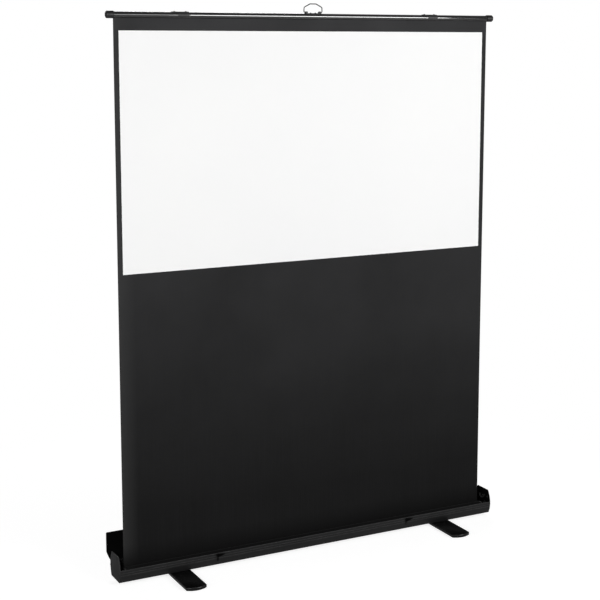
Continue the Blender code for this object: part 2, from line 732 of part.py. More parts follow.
def roller_bracket(name, side, bore):
    """Flanged cup on the inside of an end plate, which holds the roller's end."""
    face = INSIDE_HALF - GAP
    profile = [
        (face, BRACKET_RADIUS),
        (face - BRACKET_FLANGE, BRACKET_RADIUS),
        (face - BRACKET_FLANGE, BOSS_RADIUS),
        (face - BOSS_DEPTH, BOSS_RADIUS),
        (face - BOSS_DEPTH, bore),
        (face - BRACKET_FLANGE / 2, bore),
    ]
    solid(name, turned([(side * x, r) for x, r in profile], "X", (ROLLER_Y, ROLLER_Z)), "black_plastic")


def spring_shaft():
    """Fixed shaft inside the roller, with the collar that holds the spring's far end."""
    far, near = (SHAFT_END - reach for reach in SHAFT_COLLAR)
    collar = 2 * SHAFT_RADIUS
    profile = [
        (SHAFT_START, SHAFT_RADIUS),
        (near, SHAFT_RADIUS),
        (near, collar),
        (far, collar),
        (far, SHAFT_RADIUS),
        (SHAFT_END, SHAFT_RADIUS),
    ]
    solid("spring_shaft", turned(profile, "X", (ROLLER_Y, ROLLER_Z)), "steel")


def roller_spring():
    """Torsion spring round the shaft, from the left plug to the shaft's collar."""
    start = -ROLLER_HALF + PLUG_DEPTH + SPRING_WIRE + GAP
    length = SHAFT_END - SHAFT_COLLAR[1] - SPRING_WIRE - GAP - start
    turn = np.linspace(0, 1, 8 * SPRING_TURNS + 1)
    angle = 2 * math.pi * SPRING_TURNS * turn
    path = np.column_stack(
        [
            start + length * turn,
            ROLLER_Y + SPRING_RADIUS * np.cos(angle),
            ROLLER_Z + SPRING_RADIUS * np.sin(angle),
        ]
    )
    least = length / SPRING_TURNS - 2 * SPRING_WIRE
    print(f"roller_spring: least gap between turns {least * 1000:.2f} mm")
    solid("roller_spring", sweep(path, SPRING_WIRE, 5), "steel", (0, ROLLER_Y, ROLLER_Z))


# Fabric


def fabric_backing():
    """Black sheet from the roller up into the tube, where its welt hangs in the slot."""
    back = CLOTH - GAP / 3
    front = back - CLOTH
    welt = ((front + back) / 2, TUBE_Z - TUBE_BORE + WELT_RADIUS + GAP)
    half_angle = math.degrees(math.asin(CLOTH / 2 / WELT_RADIUS))
    bead = arc(welt, WELT_RADIUS, half_angle - 90, 270 - half_angle, 12)
    section = np.vstack([[(front, ROLLER_Z), (back, ROLLER_Z)], bead])
    solid("fabric_backing", prism(section, "X", -FABRIC_HALF, FABRIC_HALF), "black_cloth")


def white_surface():
    back = -GAP / 3 - GAP
    half = WHITE_WIDTH / 2
    sheet = box((-half, back - WHITE_COAT, WHITE_BOTTOM), (half, back, WHITE_TOP))
    solid("white_surface", sheet, "white_cloth")


# Top tube


def rivet_holes(places, radius):
    low = TUBE_Z + 0.6 * TUBE_BORE
    high = TUBE_Z + SADDLE_OUTER + SHEET
    return [turned([(low, radius), (high, radius)], "Z", (x, 0), 12) for x in places]


def clip_x(side):
    return side * ARM_X


def rivet_places():
    places = {"handle_rivet_left": -HANDLE_RIVET_X, "handle_rivet_right": HANDLE_RIVET_X}
    for clip, side in (("left", -1), ("right", 1)):
        for end, offset in zip(("outer", "inner"), CLIP_RIVETS):
            places[f"clip_{clip}_rivet_{end}"] = clip_x(side) + offset
    return places


def top_tube():
    """Tube with the slot along its underside that the fabric's welt hangs in."""
    outer_edge = math.degrees(math.asin(TUBE_SLOT / 2 / TUBE_RADIUS))
    inner_edge = math.degrees(math.asin(TUBE_SLOT / 2 / TUBE_BORE))
    section = np.vstack(
        [
            arc((0, TUBE_Z), TUBE_RADIUS, outer_edge - 90, 270 - outer_edge, 32),
            arc((0, TUBE_Z), TUBE_BORE, 270 - inner_edge, inner_edge - 90, 32),
        ]
    )
    holes = rivet_holes(rivet_places().values(), RIVET_RADIUS + RUN)
    solid("top_tube", prism(section, "X", -TUBE_HALF, TUBE_HALF), "gloss_paint", (0, 0, TUBE_Z), cut=holes)


def tube_cap(name, side):
    """Cup over the tube's end, with a domed face."""
    outer = TUBE_HALF + CAP_PAST
    seat = TUBE_HALF + GAP
    profile = [
        (TUBE_HALF - CAP_OVER, TUBE_RADIUS + RUN),
        (TUBE_HALF - CAP_OVER, CAP_RADIUS - CAP_EDGE),
        (TUBE_HALF - CAP_OVER + 2 * CAP_EDGE, CAP_RADIUS),
        (outer - 0.40 * CAP_RADIUS, CAP_RADIUS),
        (outer - 0.22 * CAP_RADIUS, 0.93 * CAP_RADIUS),
        (outer - 0.08 * CAP_RADIUS, 0.74 * CAP_RADIUS),
        (outer, 0.42 * CAP_RADIUS),
    ]
    bore = [(seat, TUBE_RADIUS + RUN)]
    rings = [(side * x, r) for x, r in bore + profile]
    solid(name, turned(rings, "X", (0, TUBE_Z), 24), "black_plastic", (0, 0, TUBE_Z))


def rivet(name, x):
    """Domed rivet down through a strip and the tube's wall, spread inside."""
    tail_top = TUBE_Z + math.sqrt(TUBE_BORE**2 - (1.5 * RIVET_RADIUS) ** 2) - GAP
    seat = TUBE_Z + SADDLE_OUTER + GAP
    profile = [
        (tail_top - RIVET_RADIUS / 2, 1.5 * RIVET_RADIUS),
        (tail_top, 1.5 * RIVET_RADIUS),
        (tail_top, RIVET_RADIUS),
        (seat, RIVET_RADIUS),
        (seat, RIVET_HEAD_RADIUS),
        (seat + 0.35 * RIVET_HEAD, 0.94 * RIVET_HEAD_RADIUS),
        (seat + 0.75 * RIVET_HEAD, 0.68 * RIVET_HEAD_RADIUS),
        (seat + RIVET_HEAD, 0.30 * RIVET_HEAD_RADIUS),
    ]
    solid(name, turned(profile, "Z", (x, 0), 12), "gloss_paint", (0, 0, TUBE_Z))


def saddle_ring(x, front, back):
    """Section of the sheet over the tube, between two angles in degrees from the back."""
    outer = arc((0, TUBE_Z), SADDLE_OUTER, back, front, 12)
    inner = arc((0, TUBE_Z), SADDLE_RADIUS, front, back, 12)
    return at("X", x, np.vstack([outer, inner]))


def tube_clip(name, side, stack_y):
    """Saddle over the tube, with a tongue to its left and a leg back and down to the top pivot."""
    x = clip_x(side)
    start, end = (x + reach for reach in CLIP_SADDLE)
    rings = [saddle_ring(start - CLIP_TONGUE, *TONGUE_ANGLES)]
    for share in np.linspace(0, 1, 7):
        front, back = (1 - share) * np.array(TONGUE_ANGLES) + share * np.array(SADDLE_ANGLES)
        rings.append(saddle_ring(start - CLIP_FLARE * (1 - share), front, back))
    rings.append(saddle_ring(end, *SADDLE_ANGLES))
    leg_y = stack_y + ARM_THICKNESS + 2 * GAP + CLIP_SHEET / 2
    leg_z = TUBE_Z - CLIP_LEG_DROP
    half = CLIP_LEG_WIDTH / 2
    start_y = math.sqrt(SADDLE_RADIUS**2 - CLIP_LEG_DROP**2) + CLIP_SHEET / 3
    corner = arc((leg_y - CLIP_SHEET, leg_z - CLIP_SHEET), CLIP_SHEET, 90, 0, 4)
    end_angles = np.radians([0, 25, 50, 70, 84])
    tip = np.column_stack([np.full(5, leg_y), TOP_PIVOT_Z - half * np.sin(end_angles)])
    path = np.vstack([[(start_y, leg_z)], corner, tip])
    widths = np.concatenate([np.full(1 + len(corner), half), half * np.cos(end_angles)])
    leg = bent_strip(path, widths, CLIP_SHEET, x)
    top = TUBE_Z + SADDLE_OUTER
    bump = [
        (top - CLIP_SHEET / 2, DIMPLE_RADIUS),
        (top + DIMPLE_RISE / 6, DIMPLE_RADIUS),
        (top + DIMPLE_RISE, 0.6 * DIMPLE_RADIUS),
    ]
    dimples = [turned(bump, "Z", (x + offset, 0), 12) for offset in CLIP_DIMPLES]
    drill = [(leg_y - 3 * CLIP_SHEET, PIN_RADIUS + RUN), (leg_y + 3 * CLIP_SHEET, PIN_RADIUS + RUN)]
    hole = turned(drill, "Y", (x, TOP_PIVOT_Z))
    holes = rivet_holes([x + offset for offset in CLIP_RIVETS], RIVET_RADIUS + RUN)
    solid(name, loft(rings), "gloss_paint", (0, 0, TUBE_Z), add=[leg, *dimples], cut=[hole, *holes])


def tube_rest(name, side):
    """Cradle inside an end plate that takes the tube's cap when the screen is down."""
    inner = CAP_RADIUS + REST_CLEARANCE
    outer = inner + REST_WALL
    face = INSIDE_HALF - GAP
    ring = np.vstack([arc((0, REST_Z), outer, 180, 360, 16), arc((0, REST_Z), inner, 360, 180, 16)])
    cradle = prism(ring, "X", side * (face - REST_PLATE - REST_DEPTH), side * (face - REST_PLATE / 2))
    tab = (REST_TAB[0], REST_Z + REST_TAB[1])
    plate_radius = outer + GAP
    plate = np.vstack(
        [
            arc((0, REST_Z), plate_radius, 205, 360, 14),
            [(plate_radius, REST_Z + REST_RIM), (-0.8 * outer, REST_Z + REST_RIM)],
            arc(tab, REST_TAB_RADIUS, 80, 260, 8),
        ]
    )
    back = prism(plate, "X", side * (face - REST_PLATE), side * face)
    dome = [
        (face - REST_PLATE / 2, RIVET_HEAD_RADIUS),
        (face - 1.6 * REST_PLATE, 0.93 * RIVET_HEAD_RADIUS),
        (face - 2.1 * REST_PLATE, 0.5 * RIVET_HEAD_RADIUS),
    ]
    rivet_head = turned([(side * x, r) for x, r in dome], "X", tab, 16)
    solid(name, back, "gloss_paint", add=[cradle, rivet_head])


# Handle


def handle_plate():
    """Strip over the tube with an ear at each end for the wire."""
    centre = (0, HANDLE_AXIS_Z)
    hole = circle(centre, HANDLE_WIRE + 2 * RUN, 16)[::-1]
    root = TUBE_Z + SADDLE_RADIUS + CLIP_SHEET / 3
    corners = [(-HANDLE_EAR_RADIUS, root), (HANDLE_EAR_RADIUS, root)]
    ear = np.vstack([arc(centre, HANDLE_EAR_RADIUS, 0, 180, 10), corners])
    ears = []
    for side in (-1, 1):
        low = side * (HANDLE_EAR_X - HANDLE_EAR / 2)
        high = side * (HANDLE_EAR_X + HANDLE_EAR / 2)
        ears.append(prism(ear, "X", low, high, [hole]))
    holes = rivet_holes([-HANDLE_RIVET_X, HANDLE_RIVET_X], RIVET_RADIUS + RUN)
    shape = loft([saddle_ring(side * HANDLE_HALF_LENGTH, *HANDLE_ANGLES) for side in (-1, 1)])
    solid("handle_plate", shape, "gloss_paint", (0, 0, TUBE_Z), add=ears, cut=holes)


def handle_wire():
    """Bent wire: in through both ears, out to its shoulders and up to a straight grip."""
    inner = HANDLE_EAR_X - HANDLE_EAR / 2 - HANDLE_WIRE
    half = [
        (inner, 0, 0),
        (HANDLE_SHOULDER_X, 0, HANDLE_TURNS[0]),
        (HANDLE_SHOULDER_X, HANDLE_SHOULDER_RISE, HANDLE_TURNS[1]),
        (HANDLE_GRIP_X, HANDLE_GRIP_RISE, HANDLE_TURNS[2]),
    ]
    other = [(-across, up, turn) for across, up, turn in half[::-1]]
    bends = rounded(half + other, 4)
    path = np.column_stack([bends[:, 0], np.zeros(len(bends)), HANDLE_AXIS_Z + bends[:, 1]])
    solid("handle_wire", sweep(path, HANDLE_WIRE, 8), "gloss_paint", (0, 0, HANDLE_AXIS_Z))


# Arms


def arm(name, x, low, high, front, pivot_z):
    """Flat bar with round ends, a hole at each and a long pocket pressed into both faces."""
    back = front + ARM_THICKNESS
    outline = slot_outline(low, high, ARM_WIDTH / 2, x)
    holes = [circle((x, z), PIN_RADIUS + RUN, 24)[::-1] for z in (low, high)]
    margin = 1.4 * ARM_WIDTH
    pocket = slot_outline(low + margin, high - margin, ARM_POCKET_WIDTH / 2, x, 6)
    shape = prism(outline, "Y", front, back, holes, [pocket], ARM_POCKET_DEPTH)
    solid(name, shape, "black_paint", (x, front + ARM_THICKNESS / 2, pivot_z))


def pivot_pin(name, x, z, steps):
    """Turned pin along Y through the given (y, radius) steps."""
    solid(name, turned(steps, "Y", (x, z)), "steel", (x, 0, z))


def arm_pins(side, x, stack):
    """The elbow pin with its spacing collar, and the pins at the base and the tube."""
    upper_front = stack
    lower_front = stack + ARM_THICKNESS + ARM_SPACE
    lower_back = lower_front + ARM_THICKNESS
    front_head = [(upper_front - GAP - PIN_HEAD, PIN_HEAD_RADIUS), (upper_front - GAP, PIN_HEAD_RADIUS)]
    back_head = [(lower_back + GAP, PIN_HEAD_RADIUS), (lower_back + GAP + PIN_HEAD, PIN_HEAD_RADIUS)]
    collar = [(upper_front + ARM_THICKNESS + GAP, COLLAR_RADIUS), (lower_front - GAP, COLLAR_RADIUS)]
    elbow = [
        *front_head,
        (upper_front - GAP, PIN_RADIUS),
        (collar[0][0], PIN_RADIUS),
        *collar,
        (collar[1][0], PIN_RADIUS),
        (back_head[0][0], PIN_RADIUS),
        *back_head,
    ]
    pivot_pin(f"elbow_pin_{side}", x, ELBOW_Z, elbow)
    lug_front = lower_front - LUG_SPACE - SHEET - GAP / 3
    base = [
        (lug_front - GAP - PIN_HEAD, SMALL_HEAD_RADIUS),
        (lug_front - GAP, SMALL_HEAD_RADIUS),
        (lug_front - GAP, PIN_RADIUS),
        (back_head[0][0], PIN_RADIUS),
        (back_head[0][0], SMALL_HEAD_RADIUS),
        (back_head[1][0], SMALL_HEAD_RADIUS),
    ]
    pivot_pin(f"arm_base_pin_{side}", x, BASE_PIVOT_Z, base)
    tail = lower_front - GAP
    top = [
        *front_head,
        (upper_front - GAP, PIN_RADIUS),
        (tail - PIN_TAIL, PIN_RADIUS),
        (tail - PIN_TAIL, SMALL_HEAD_RADIUS),
        (tail, SMALL_HEAD_RADIUS),
    ]
    pivot_pin(f"top_pin_{side}", x, TOP_PIVOT_Z, top)


def arm_bracket(name, x, stack):
    """Bracket on the base floor whose lug carries the lower arm."""
    lug_back = stack + ARM_THICKNESS + ARM_SPACE - LUG_SPACE
    lug_front = lug_back - SHEET - GAP / 3
    low = FLOOR_Z + GAP
    top = low + SHEET
    toe = stack - BRACKET_TOE
    root = low + SHEET / 3
    half = ARM_WIDTH / 2 + LUG_FLARE
    corners = [(x - half, root), (x + half, root)]
    outline = np.vstack([arc((x, BASE_PIVOT_Z), ARM_WIDTH / 2, 0, 180, 12), corners])
    hole = circle((x, BASE_PIVOT_Z), PIN_RADIUS + RUN, 24)[::-1]
    lug = prism(outline, "Y", lug_front, lug_back, [hole])
    dome = [
        (top - SHEET / 2, RIVET_HEAD_RADIUS),
        (top + 0.4 * BRACKET_SCREW_HEAD, RIVET_HEAD_RADIUS),
        (top + BRACKET_SCREW_HEAD, 0.5 * RIVET_HEAD_RADIUS),
    ]
    middle = (toe + lug_front) / 2
    screws = [turned(dome, "Z", (x + side * BRACKET_SCREW_X, middle), 12) for side in (-1, 1)]
    plate = box((x - BRACKET_HALF_LENGTH, toe, low), (x + BRACKET_HALF_LENGTH, lug_back + GAP, top))
    solid(name, plate, "steel", add=[lug, *screws])


def support_arms():
    for side, way in (("left", -1), ("right", 1)):
        x = way * ARM_X
        stack = ARM_STACK_Y[side]
        lower_front = stack + ARM_THICKNESS + ARM_SPACE
        arm_bracket(f"arm_bracket_{side}", x, stack)
        arm(f"lower_arm_{side}", x, BASE_PIVOT_Z, ELBOW_Z, lower_front, BASE_PIVOT_Z)
        arm(f"upper_arm_{side}", x, ELBOW_Z, TOP_PIVOT_Z, stack, ELBOW_Z)
        arm_pins(side, x, stack)
        tube_clip(f"tube_clip_{side}", way, stack)


# Latches


def latch_keeper(name, x):
    """Narrow plate up the front wall with a headed pin for the hook."""
    low, high = (BASE_Z + level for level in KEEPER_LEVELS)
    outer = [point[:2] for point in wall(-1, low, high, -GAP - KEEPER_THICKNESS, 6)]
    inner = [point[:2] for point in wall(-1, low, high, -GAP, 6)]
    plate = prism(outer + inner[::-1], "X", x - KEEPER_WIDTH / 2, x + KEEPER_WIDTH / 2)
    face = HOOK_BACK + GAP
    front = HOOK_BACK - HOOK_THICKNESS - GAP
    pin = turned(
        [
            (face + KEEPER_THICKNESS, LATCH_PIN_RADIUS),
            (front, LATCH_PIN_RADIUS),
            (front, LATCH_HEAD_RADIUS),
            (front - 0.6 * LATCH_HEAD, LATCH_HEAD_RADIUS),
            (front - LATCH_HEAD, 0.75 * LATCH_HEAD_RADIUS),
        ],
        "Y",
        (x, LATCH_PIN_Z),
        20,
    )
    solid(name, plate, "black_plastic", add=[pin])


def latch_hook(name, x):
    """Pointed arm that turns up to catch the lid's hasp with the nose on its back."""
    tip = x + HOOK_LENGTH
    point = np.array(HOOK_POINT) + (tip, LATCH_PIN_Z)
    blade = np.vstack([arc((x, LATCH_PIN_Z), HOOK_RADIUS, 70, 285, 16), point])
    hole = circle((x, LATCH_PIN_Z), LATCH_PIN_RADIUS + RUN, 20)[::-1]
    stud = [
        (HOOK_BACK - HOOK_THICKNESS / 2, HOOK_NOSE_RADIUS),
        (HOOK_BACK + HOOK_NOSE, 0.8 * HOOK_NOSE_RADIUS),
    ]
    nose = turned(stud, "Y", (tip + HOOK_NOSE_PLACE[0], LATCH_PIN_Z + HOOK_NOSE_PLACE[1]), 12)
    shape = prism(blade, "Y", HOOK_BACK - HOOK_THICKNESS, HOOK_BACK, [hole])
    solid(name, shape, "black_plastic", (x, HOOK_BACK, LATCH_PIN_Z), add=[nose])


def latches():
    for side, way in (("left", -1), ("right", 1)):
        x = way * LATCH_X - LATCH_SHIFT
        latch_keeper(f"latch_keeper_{side}", x)
        latch_hook(f"latch_hook_{side}", x)
        lid_hasp(f"lid_hasp_{side}", x)


def build():
    for old in list(bpy.data.objects):
        bpy.data.objects.remove(old, do_unlink=True)
    base_trough()
    lid()
    for side, way in (("left", -1), ("right", 1)):
        end_plate(f"end_plate_{side}", way)
        plate_screw(f"plate_screw_{side}_front", way, -1)
        plate_screw(f"plate_screw_{side}_rear", way, 1)
        foot(f"foot_{side}", way)
        foot_bolt(f"foot_bolt_{side}", way)
        tube_cap(f"tube_cap_{side}", way)
        tube_rest(f"tube_rest_{side}", way)
    roller_bracket("roller_bracket_left", -1, SHAFT_RADIUS + RUN)
    roller_bracket("roller_bracket_right", 1, GUDGEON_RADIUS + RUN)
    roller_tube()
    roller_plugs()
    spring_shaft()
    roller_spring()
    fabric_roll()
    fabric_backing()
    white_surface()
    top_tube()
    for name, x in rivet_places().items():
        rivet(name, x)
    handle_plate()
    handle_wire()
    support_arms()
    latches()


build()
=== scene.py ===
"""Studio picture of a pull-up projector screen that stands on the floor.

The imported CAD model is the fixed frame. Each piece here is a surface worked out on whole arrays. It
stands where its CAD node stands and rides on the same body. Metres, +X right, +Y back, +Z up.
"""

import json
import math
from typing import NamedTuple

import bmesh
import bpy
import numpy as np
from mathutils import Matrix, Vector
from mathutils.geometry import tessellate_polygon

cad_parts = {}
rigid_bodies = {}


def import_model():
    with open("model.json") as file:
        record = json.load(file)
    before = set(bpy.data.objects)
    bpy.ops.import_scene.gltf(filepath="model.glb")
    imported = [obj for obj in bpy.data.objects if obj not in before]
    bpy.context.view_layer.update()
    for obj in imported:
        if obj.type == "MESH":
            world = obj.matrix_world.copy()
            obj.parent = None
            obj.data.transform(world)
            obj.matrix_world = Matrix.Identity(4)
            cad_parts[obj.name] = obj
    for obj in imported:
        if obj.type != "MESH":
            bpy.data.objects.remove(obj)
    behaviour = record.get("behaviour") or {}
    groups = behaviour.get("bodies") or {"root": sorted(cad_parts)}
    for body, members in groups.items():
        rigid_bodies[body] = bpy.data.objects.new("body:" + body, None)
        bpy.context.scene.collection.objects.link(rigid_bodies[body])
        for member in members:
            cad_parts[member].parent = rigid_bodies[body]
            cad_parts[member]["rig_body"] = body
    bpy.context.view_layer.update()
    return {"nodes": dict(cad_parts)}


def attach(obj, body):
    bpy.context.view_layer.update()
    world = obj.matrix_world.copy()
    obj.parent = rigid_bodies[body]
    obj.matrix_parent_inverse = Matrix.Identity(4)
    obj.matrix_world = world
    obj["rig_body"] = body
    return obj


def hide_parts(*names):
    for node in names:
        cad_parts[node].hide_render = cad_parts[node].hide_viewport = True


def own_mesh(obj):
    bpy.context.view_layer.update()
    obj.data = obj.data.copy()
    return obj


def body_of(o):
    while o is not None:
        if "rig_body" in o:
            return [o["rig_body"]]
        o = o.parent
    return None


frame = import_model()

# Camera, at the photograph's angle
LENS = 80.114
TURN = 27.341  # degrees from straight in front, seen from the left
TILT = 8.184  # degrees downwards
CAMERA_PLACE = (-2.053, -3.879, 1.701)
SHIFT_UP = -0.105

# Studio
AMBIENT = 0.05
SEEN_IN_GLOSS = 0.15  # share of the white background that shows in a glossy surface
FLOOR_GREY = 0.45
FLOOR_LIFT = 0.78  # strength of the white that is added to the lit floor
FLOOR_FADE = (0.85, 1.7)  # distances from the middle between which the floor fades to plain white

LAMPS = {  # place, what it faces, width and height, watts
    "wide_box_right": ((2.10, -3.9, 1.9), (0.0, 0.0, 1.4), (1.7, 1.5), 123),
    "narrow_box_right": ((0.82, -3.9, 1.9), (0.0, 0.0, 1.4), (0.8, 1.2), 12),
    "wide_box_left": ((-3.2, -4.0, 2.5), (0.0, 0.0, 1.2), (2.0, 1.6), 106),
    "side_box_left": ((-3.3, -0.9, 1.4), (0.0, 0.0, 0.9), (1.2, 1.6), 20),
    "rear_box": ((0.9, 4.0, 2.2), (0.0, 0.0, 0.9), (2.2, 1.6), 85),
}

# Fits
SIDES = {"left": -1, "right": 1}
GAP = 0.0003  # between pieces that lie against each other
RUN = 0.00008  # between a pin and its hole

# Turned and worn edges
CLOSED_SHARE = 0.2  # share of a turned face's radius at which it is closed flat
WORN_BENDS = (140, 740)  # radians per metre at which an edge starts to be worn, and is fully so

# Picture and fabric
WHITE_HALF = 0.665
WHITE_BOTTOM = 0.9945
WHITE_TOP = 1.7445
WHITE_COAT = 0.0003
FABRIC_HALF = 0.6820
CLOTH = 0.0006
WELT_RADIUS = 0.0020
WAVE = 0.0007  # how far the cloth waves off its plane
CURL = 0.0016  # how far its side edges curl back
CURL_WIDTH = 0.045
CLOTH_HELD = (0.060, 0.020)  # it hangs free from this level up to this far under the tube's axis
WAVE_RATES = ((7.1, 1.9), (0.8, 2.3))  # radians per metre across and up, for its sin and its cos

# Feet
FOOT_X = 0.500
FOOT_WIDTH = 0.070
FOOT_HALF_LENGTH = 0.178
FOOT_BULGE = 0.012
FOOT_CORNER = 0.004
FOOT_THICKNESS = 0.010
FOOT_EDGES = (0.0008, 0.0024)
SOLE = 0.0017
SOLE_INSET = 0.005
SOLE_EDGES = (0.0005, 0.0001)
BOLT_RADIUS = 0.0040
BOLT_HEAD_RADIUS = 0.0088
BOLT_HEAD = 0.0023
BOLT_HEAD_EDGES = (0.0007, 0.0002)
BOLT_SOCKET = (0.36 * BOLT_HEAD_RADIUS, 0.0014)  # its radius and depth
NUT_RADIUS = 0.0070
NUT_EDGES = (0.0002, 0.0003)
COUNTERBORE = 0.0042

# Base housing
BASE_HALF = 0.710
INSIDE_HALF = 0.7075
WALL = 0.0018
SHEET = 0.0016
BASE_Y = 0.0020
HOUSING_HEIGHT = 0.0832
HOUSING_HALF_DEPTH = 0.0462
HOUSING_CORNER = 0.0025
BULGE_LEVEL = 0.0367
BULGE_RADIUS = 0.0741
FRONT_WALL = 0.0422
REAR_WALL = 0.0412
WALL_LIP = 0.0040
LIP_WALL = 0.8 * WALL
GROOVE_LEVELS = (0.0257, 0.0327)
GROOVE_DEPTH = 0.0005
CHANNEL_LEVEL = 0.0352
CHANNEL_RADIUS = 0.0026
CHANNEL_SEAT = 0.73  # share of its radius that a channel stands clear of the wall
CHANNEL_OPENING = 145  # degrees from straight back to each lip of its mouth
SCREW_RADIUS = 0.0012
SCREW_HEAD_RADIUS = 0.0026
SCREW_HEAD = 0.0011
SCREW_LENGTH = 0.013
SCREW_EDGES = (0.05 * SCREW_HEAD, 0.65 * SCREW_HEAD)
SCREW_CROSS = (0.52 * SCREW_HEAD_RADIUS, 0.13 * SCREW_HEAD_RADIUS)  # reach and half width of its arms
SCREW_CROSS_DEPTH = 0.6 * SCREW_HEAD
PLATE_EDGES = (0.0004, 0.00064)

# Lid and hinge
HINGE_LEVEL = 0.0407
HINGE_STANDOFF = 0.0043
BEAD_RADIUS = 0.0022
NECK = 0.0012
NECK_ANGLE = 205
CLAW_CLEARANCE = 0.0003
CLAW_WALL = 0.0015
CLAW_ANGLES = (-45, 185)
CLAW_WALL_ANGLES = (118.5, 150.3)
LID_FOOT = 0.0462
LID_FOOT_SLANT = 0.0005
LID_LIP = 0.0100
LID_CORNER = 0.003
HASP_WIDTH = 0.014
HASP_CORNER = 0.0025
HASP_REACH = (0.0557, 0.0802)
HASP_SLOT = (0.0060, 0.0040)
HASP_SLOT_CORNER = 0.0010

# Roller
ROLLER_LEVEL = 0.0257
ROLLER_RADIUS = 0.0135
ROLLER_WALL = 0.0013
ROLLER_HALF = 0.686
ROLL_TURNS = 2.2
ROLL_PITCH = 0.00055
ROLL_CLOTH = 0.0004
ROLL_DRIFT = 0.0005  # how far in its turns' side edges lie at most
PLUG_DEPTH = 0.025
PLUG_CHAMFER = 0.0006
PLUG_FLANGE = 0.0020
GUDGEON_RADIUS = 0.0040
SHAFT_RADIUS = 0.0030
BRACKET_RADIUS = 0.0120
BRACKET_FLANGE = 0.0020
BOSS_RADIUS = 0.0070
BOSS_DEPTH = 0.0077

# Top tube
TUBE_HALF = 0.6955
TUBE_RADIUS = 0.0095
TUBE_WALL = 0.0012
TUBE_SLOT = 0.0014
TOP_BORDER = 0.038
CAP_WALL = 0.0019
CAP_OVER = 0.0145
CAP_PAST = 0.0100
CAP_DOME = 0.42  # bulge of its face, as a share of its radius
CAP_FLAT = 0.45  # flat middle of its face, likewise
CAP_ROLL = 0.0005
CAP_RINGS = (0.0024, 0.0046)  # places of its grip rings from its mouth
CAP_GROOVE = ((0, 0), (0.0002, -0.00025), (0.0007, -0.00025), (0.0009, 0))
CAP_GATE = (0.22, 0.18)  # mark of the mould in the middle of its face, as shares of its radius
CAP_GATE_DEPTH = 0.0003
REST_LEVEL = 0.0612
REST_CLEARANCE = 0.0004
REST_WALL = 0.0020
REST_DEPTH = 0.0060
REST_PLATE = 0.0012
REST_RIM = 0.0020
REST_EDGES = (0.0004, 0.0001)
REST_PLATE_EDGES = (0.0003, 0.0001)
REST_TAB = (-0.0292, -0.0037)  # centre of its rivet, from the tube's axis
REST_TAB_RADIUS = 0.0040
REST_RIVET = (0.0028, 0.0013)  # radius and height

# Arms
ARM_X = 0.455
ARM_WIDTH = 0.018
ARM_THICKNESS = 0.0045
ARM_SPACE = 0.0040
ARM_STACK_Y = {"left": 0.0075, "right": 0.0240}
ARM_POCKET_WIDTH = 0.009
ARM_POCKET_DEPTH = 0.0011
ARM_POCKET_MARGIN = 1.4 * ARM_WIDTH
ARM_EDGE = 0.0006
BASE_PIVOT_Z = 0.0300
ELBOW_Z = 0.9000
TOP_PIVOT_Z = 1.7700
PIN_RADIUS = 0.0030
PIN_HEAD_RADIUS = 0.0060
SMALL_HEAD_RADIUS = 0.0050
COLLAR_RADIUS = 0.0065
PIN_HEAD = 0.0012
PIN_DIMPLE = 0.0003
PIN_TAIL = 0.0010
COLLAR_EDGE = 0.0002
LUG_SPACE = 0.0005
LUG_FLARE = 0.001
BRACKET_HALF_LENGTH = 0.019
BRACKET_TOE = 0.002
BRACKET_CORNERS = (0.0020, 0.0008)
BRACKET_SCREW_X = 0.0145
BRACKET_SCREW_HEAD = 0.0014

# Clips over the tube
CLIP_SHEET = 0.0012
CLIP_SADDLE = (-0.0150, 0.0190)  # its two ends, from the arm's middle
CLIP_TONGUE = 0.023
CLIP_TIP = 0.006
CLIP_FLARE = 0.004
TONGUE_ANGLES = (135, 45)
SADDLE_ANGLES = (215, -32)
CLIP_LEG_WIDTH = 0.017
CLIP_LEG_DROP = 0.0038
CLIP_RIVETS = (-0.0285, 0.0100)
CLIP_DIMPLES = (-0.0140, -0.0045)
DIMPLE_RADIUS = 0.0022
DIMPLE_RISE = 0.0011
RIVET_HEAD_RADIUS = 0.0028
RIVET_HEAD = 0.0015

# Handle
HANDLE_HALF_LENGTH = 0.030
HANDLE_TIP = 0.004
HANDLE_RIVET_X = 0.0086
HANDLE_EAR_X = 0.0248
HANDLE_EAR = 0.0085
HANDLE_EAR_RADIUS = 0.0031
HANDLE_EAR_EDGES = (0.0004, 0.0004)
HANDLE_AXIS_RISE = 0.0040
HANDLE_WIRE = 0.00175
HANDLE_ANGLES = (134, 46)  # edges of its strip round the tube
HANDLE_BENDS = ((0.0330, 0, 0.0035), (0.0330, 0.0157, 0.0060), (0.0114, 0.0270, 0.0080))

# Latches
LATCH_X = 0.362
LATCH_SHIFT = 0.0102
KEEPER_WIDTH = 0.0065
KEEPER_CORNER = 0.0015
KEEPER_LEVELS = (0.0162, 0.0417)
KEEPER_THICKNESS = 0.0022
LATCH_PIN_LEVEL = 0.0362
LATCH_PIN_RADIUS = 0.0025
LATCH_HEAD_RADIUS = 0.0042
LATCH_HEAD = 0.0013
HOOK_LENGTH = 0.024
HOOK_RADIUS = 0.0060
HOOK_THICKNESS = 0.0026
HOOK_EDGES = (0.0006, 0.0003)
HOOK_BOSS_ANGLES = (70, 285)
HOOK_NOSE_RADIUS = 0.0013
HOOK_NOSE = 0.0018
HOOK_NOSE_PLACE = (-0.0035, 0.0014)  # from the hook's tip
HOOK_POINT = ((-0.0070, -0.0010, 0.0040), (0.0, 0.0012, 0.0008), (-0.0010, 0.0032, 0.0006))

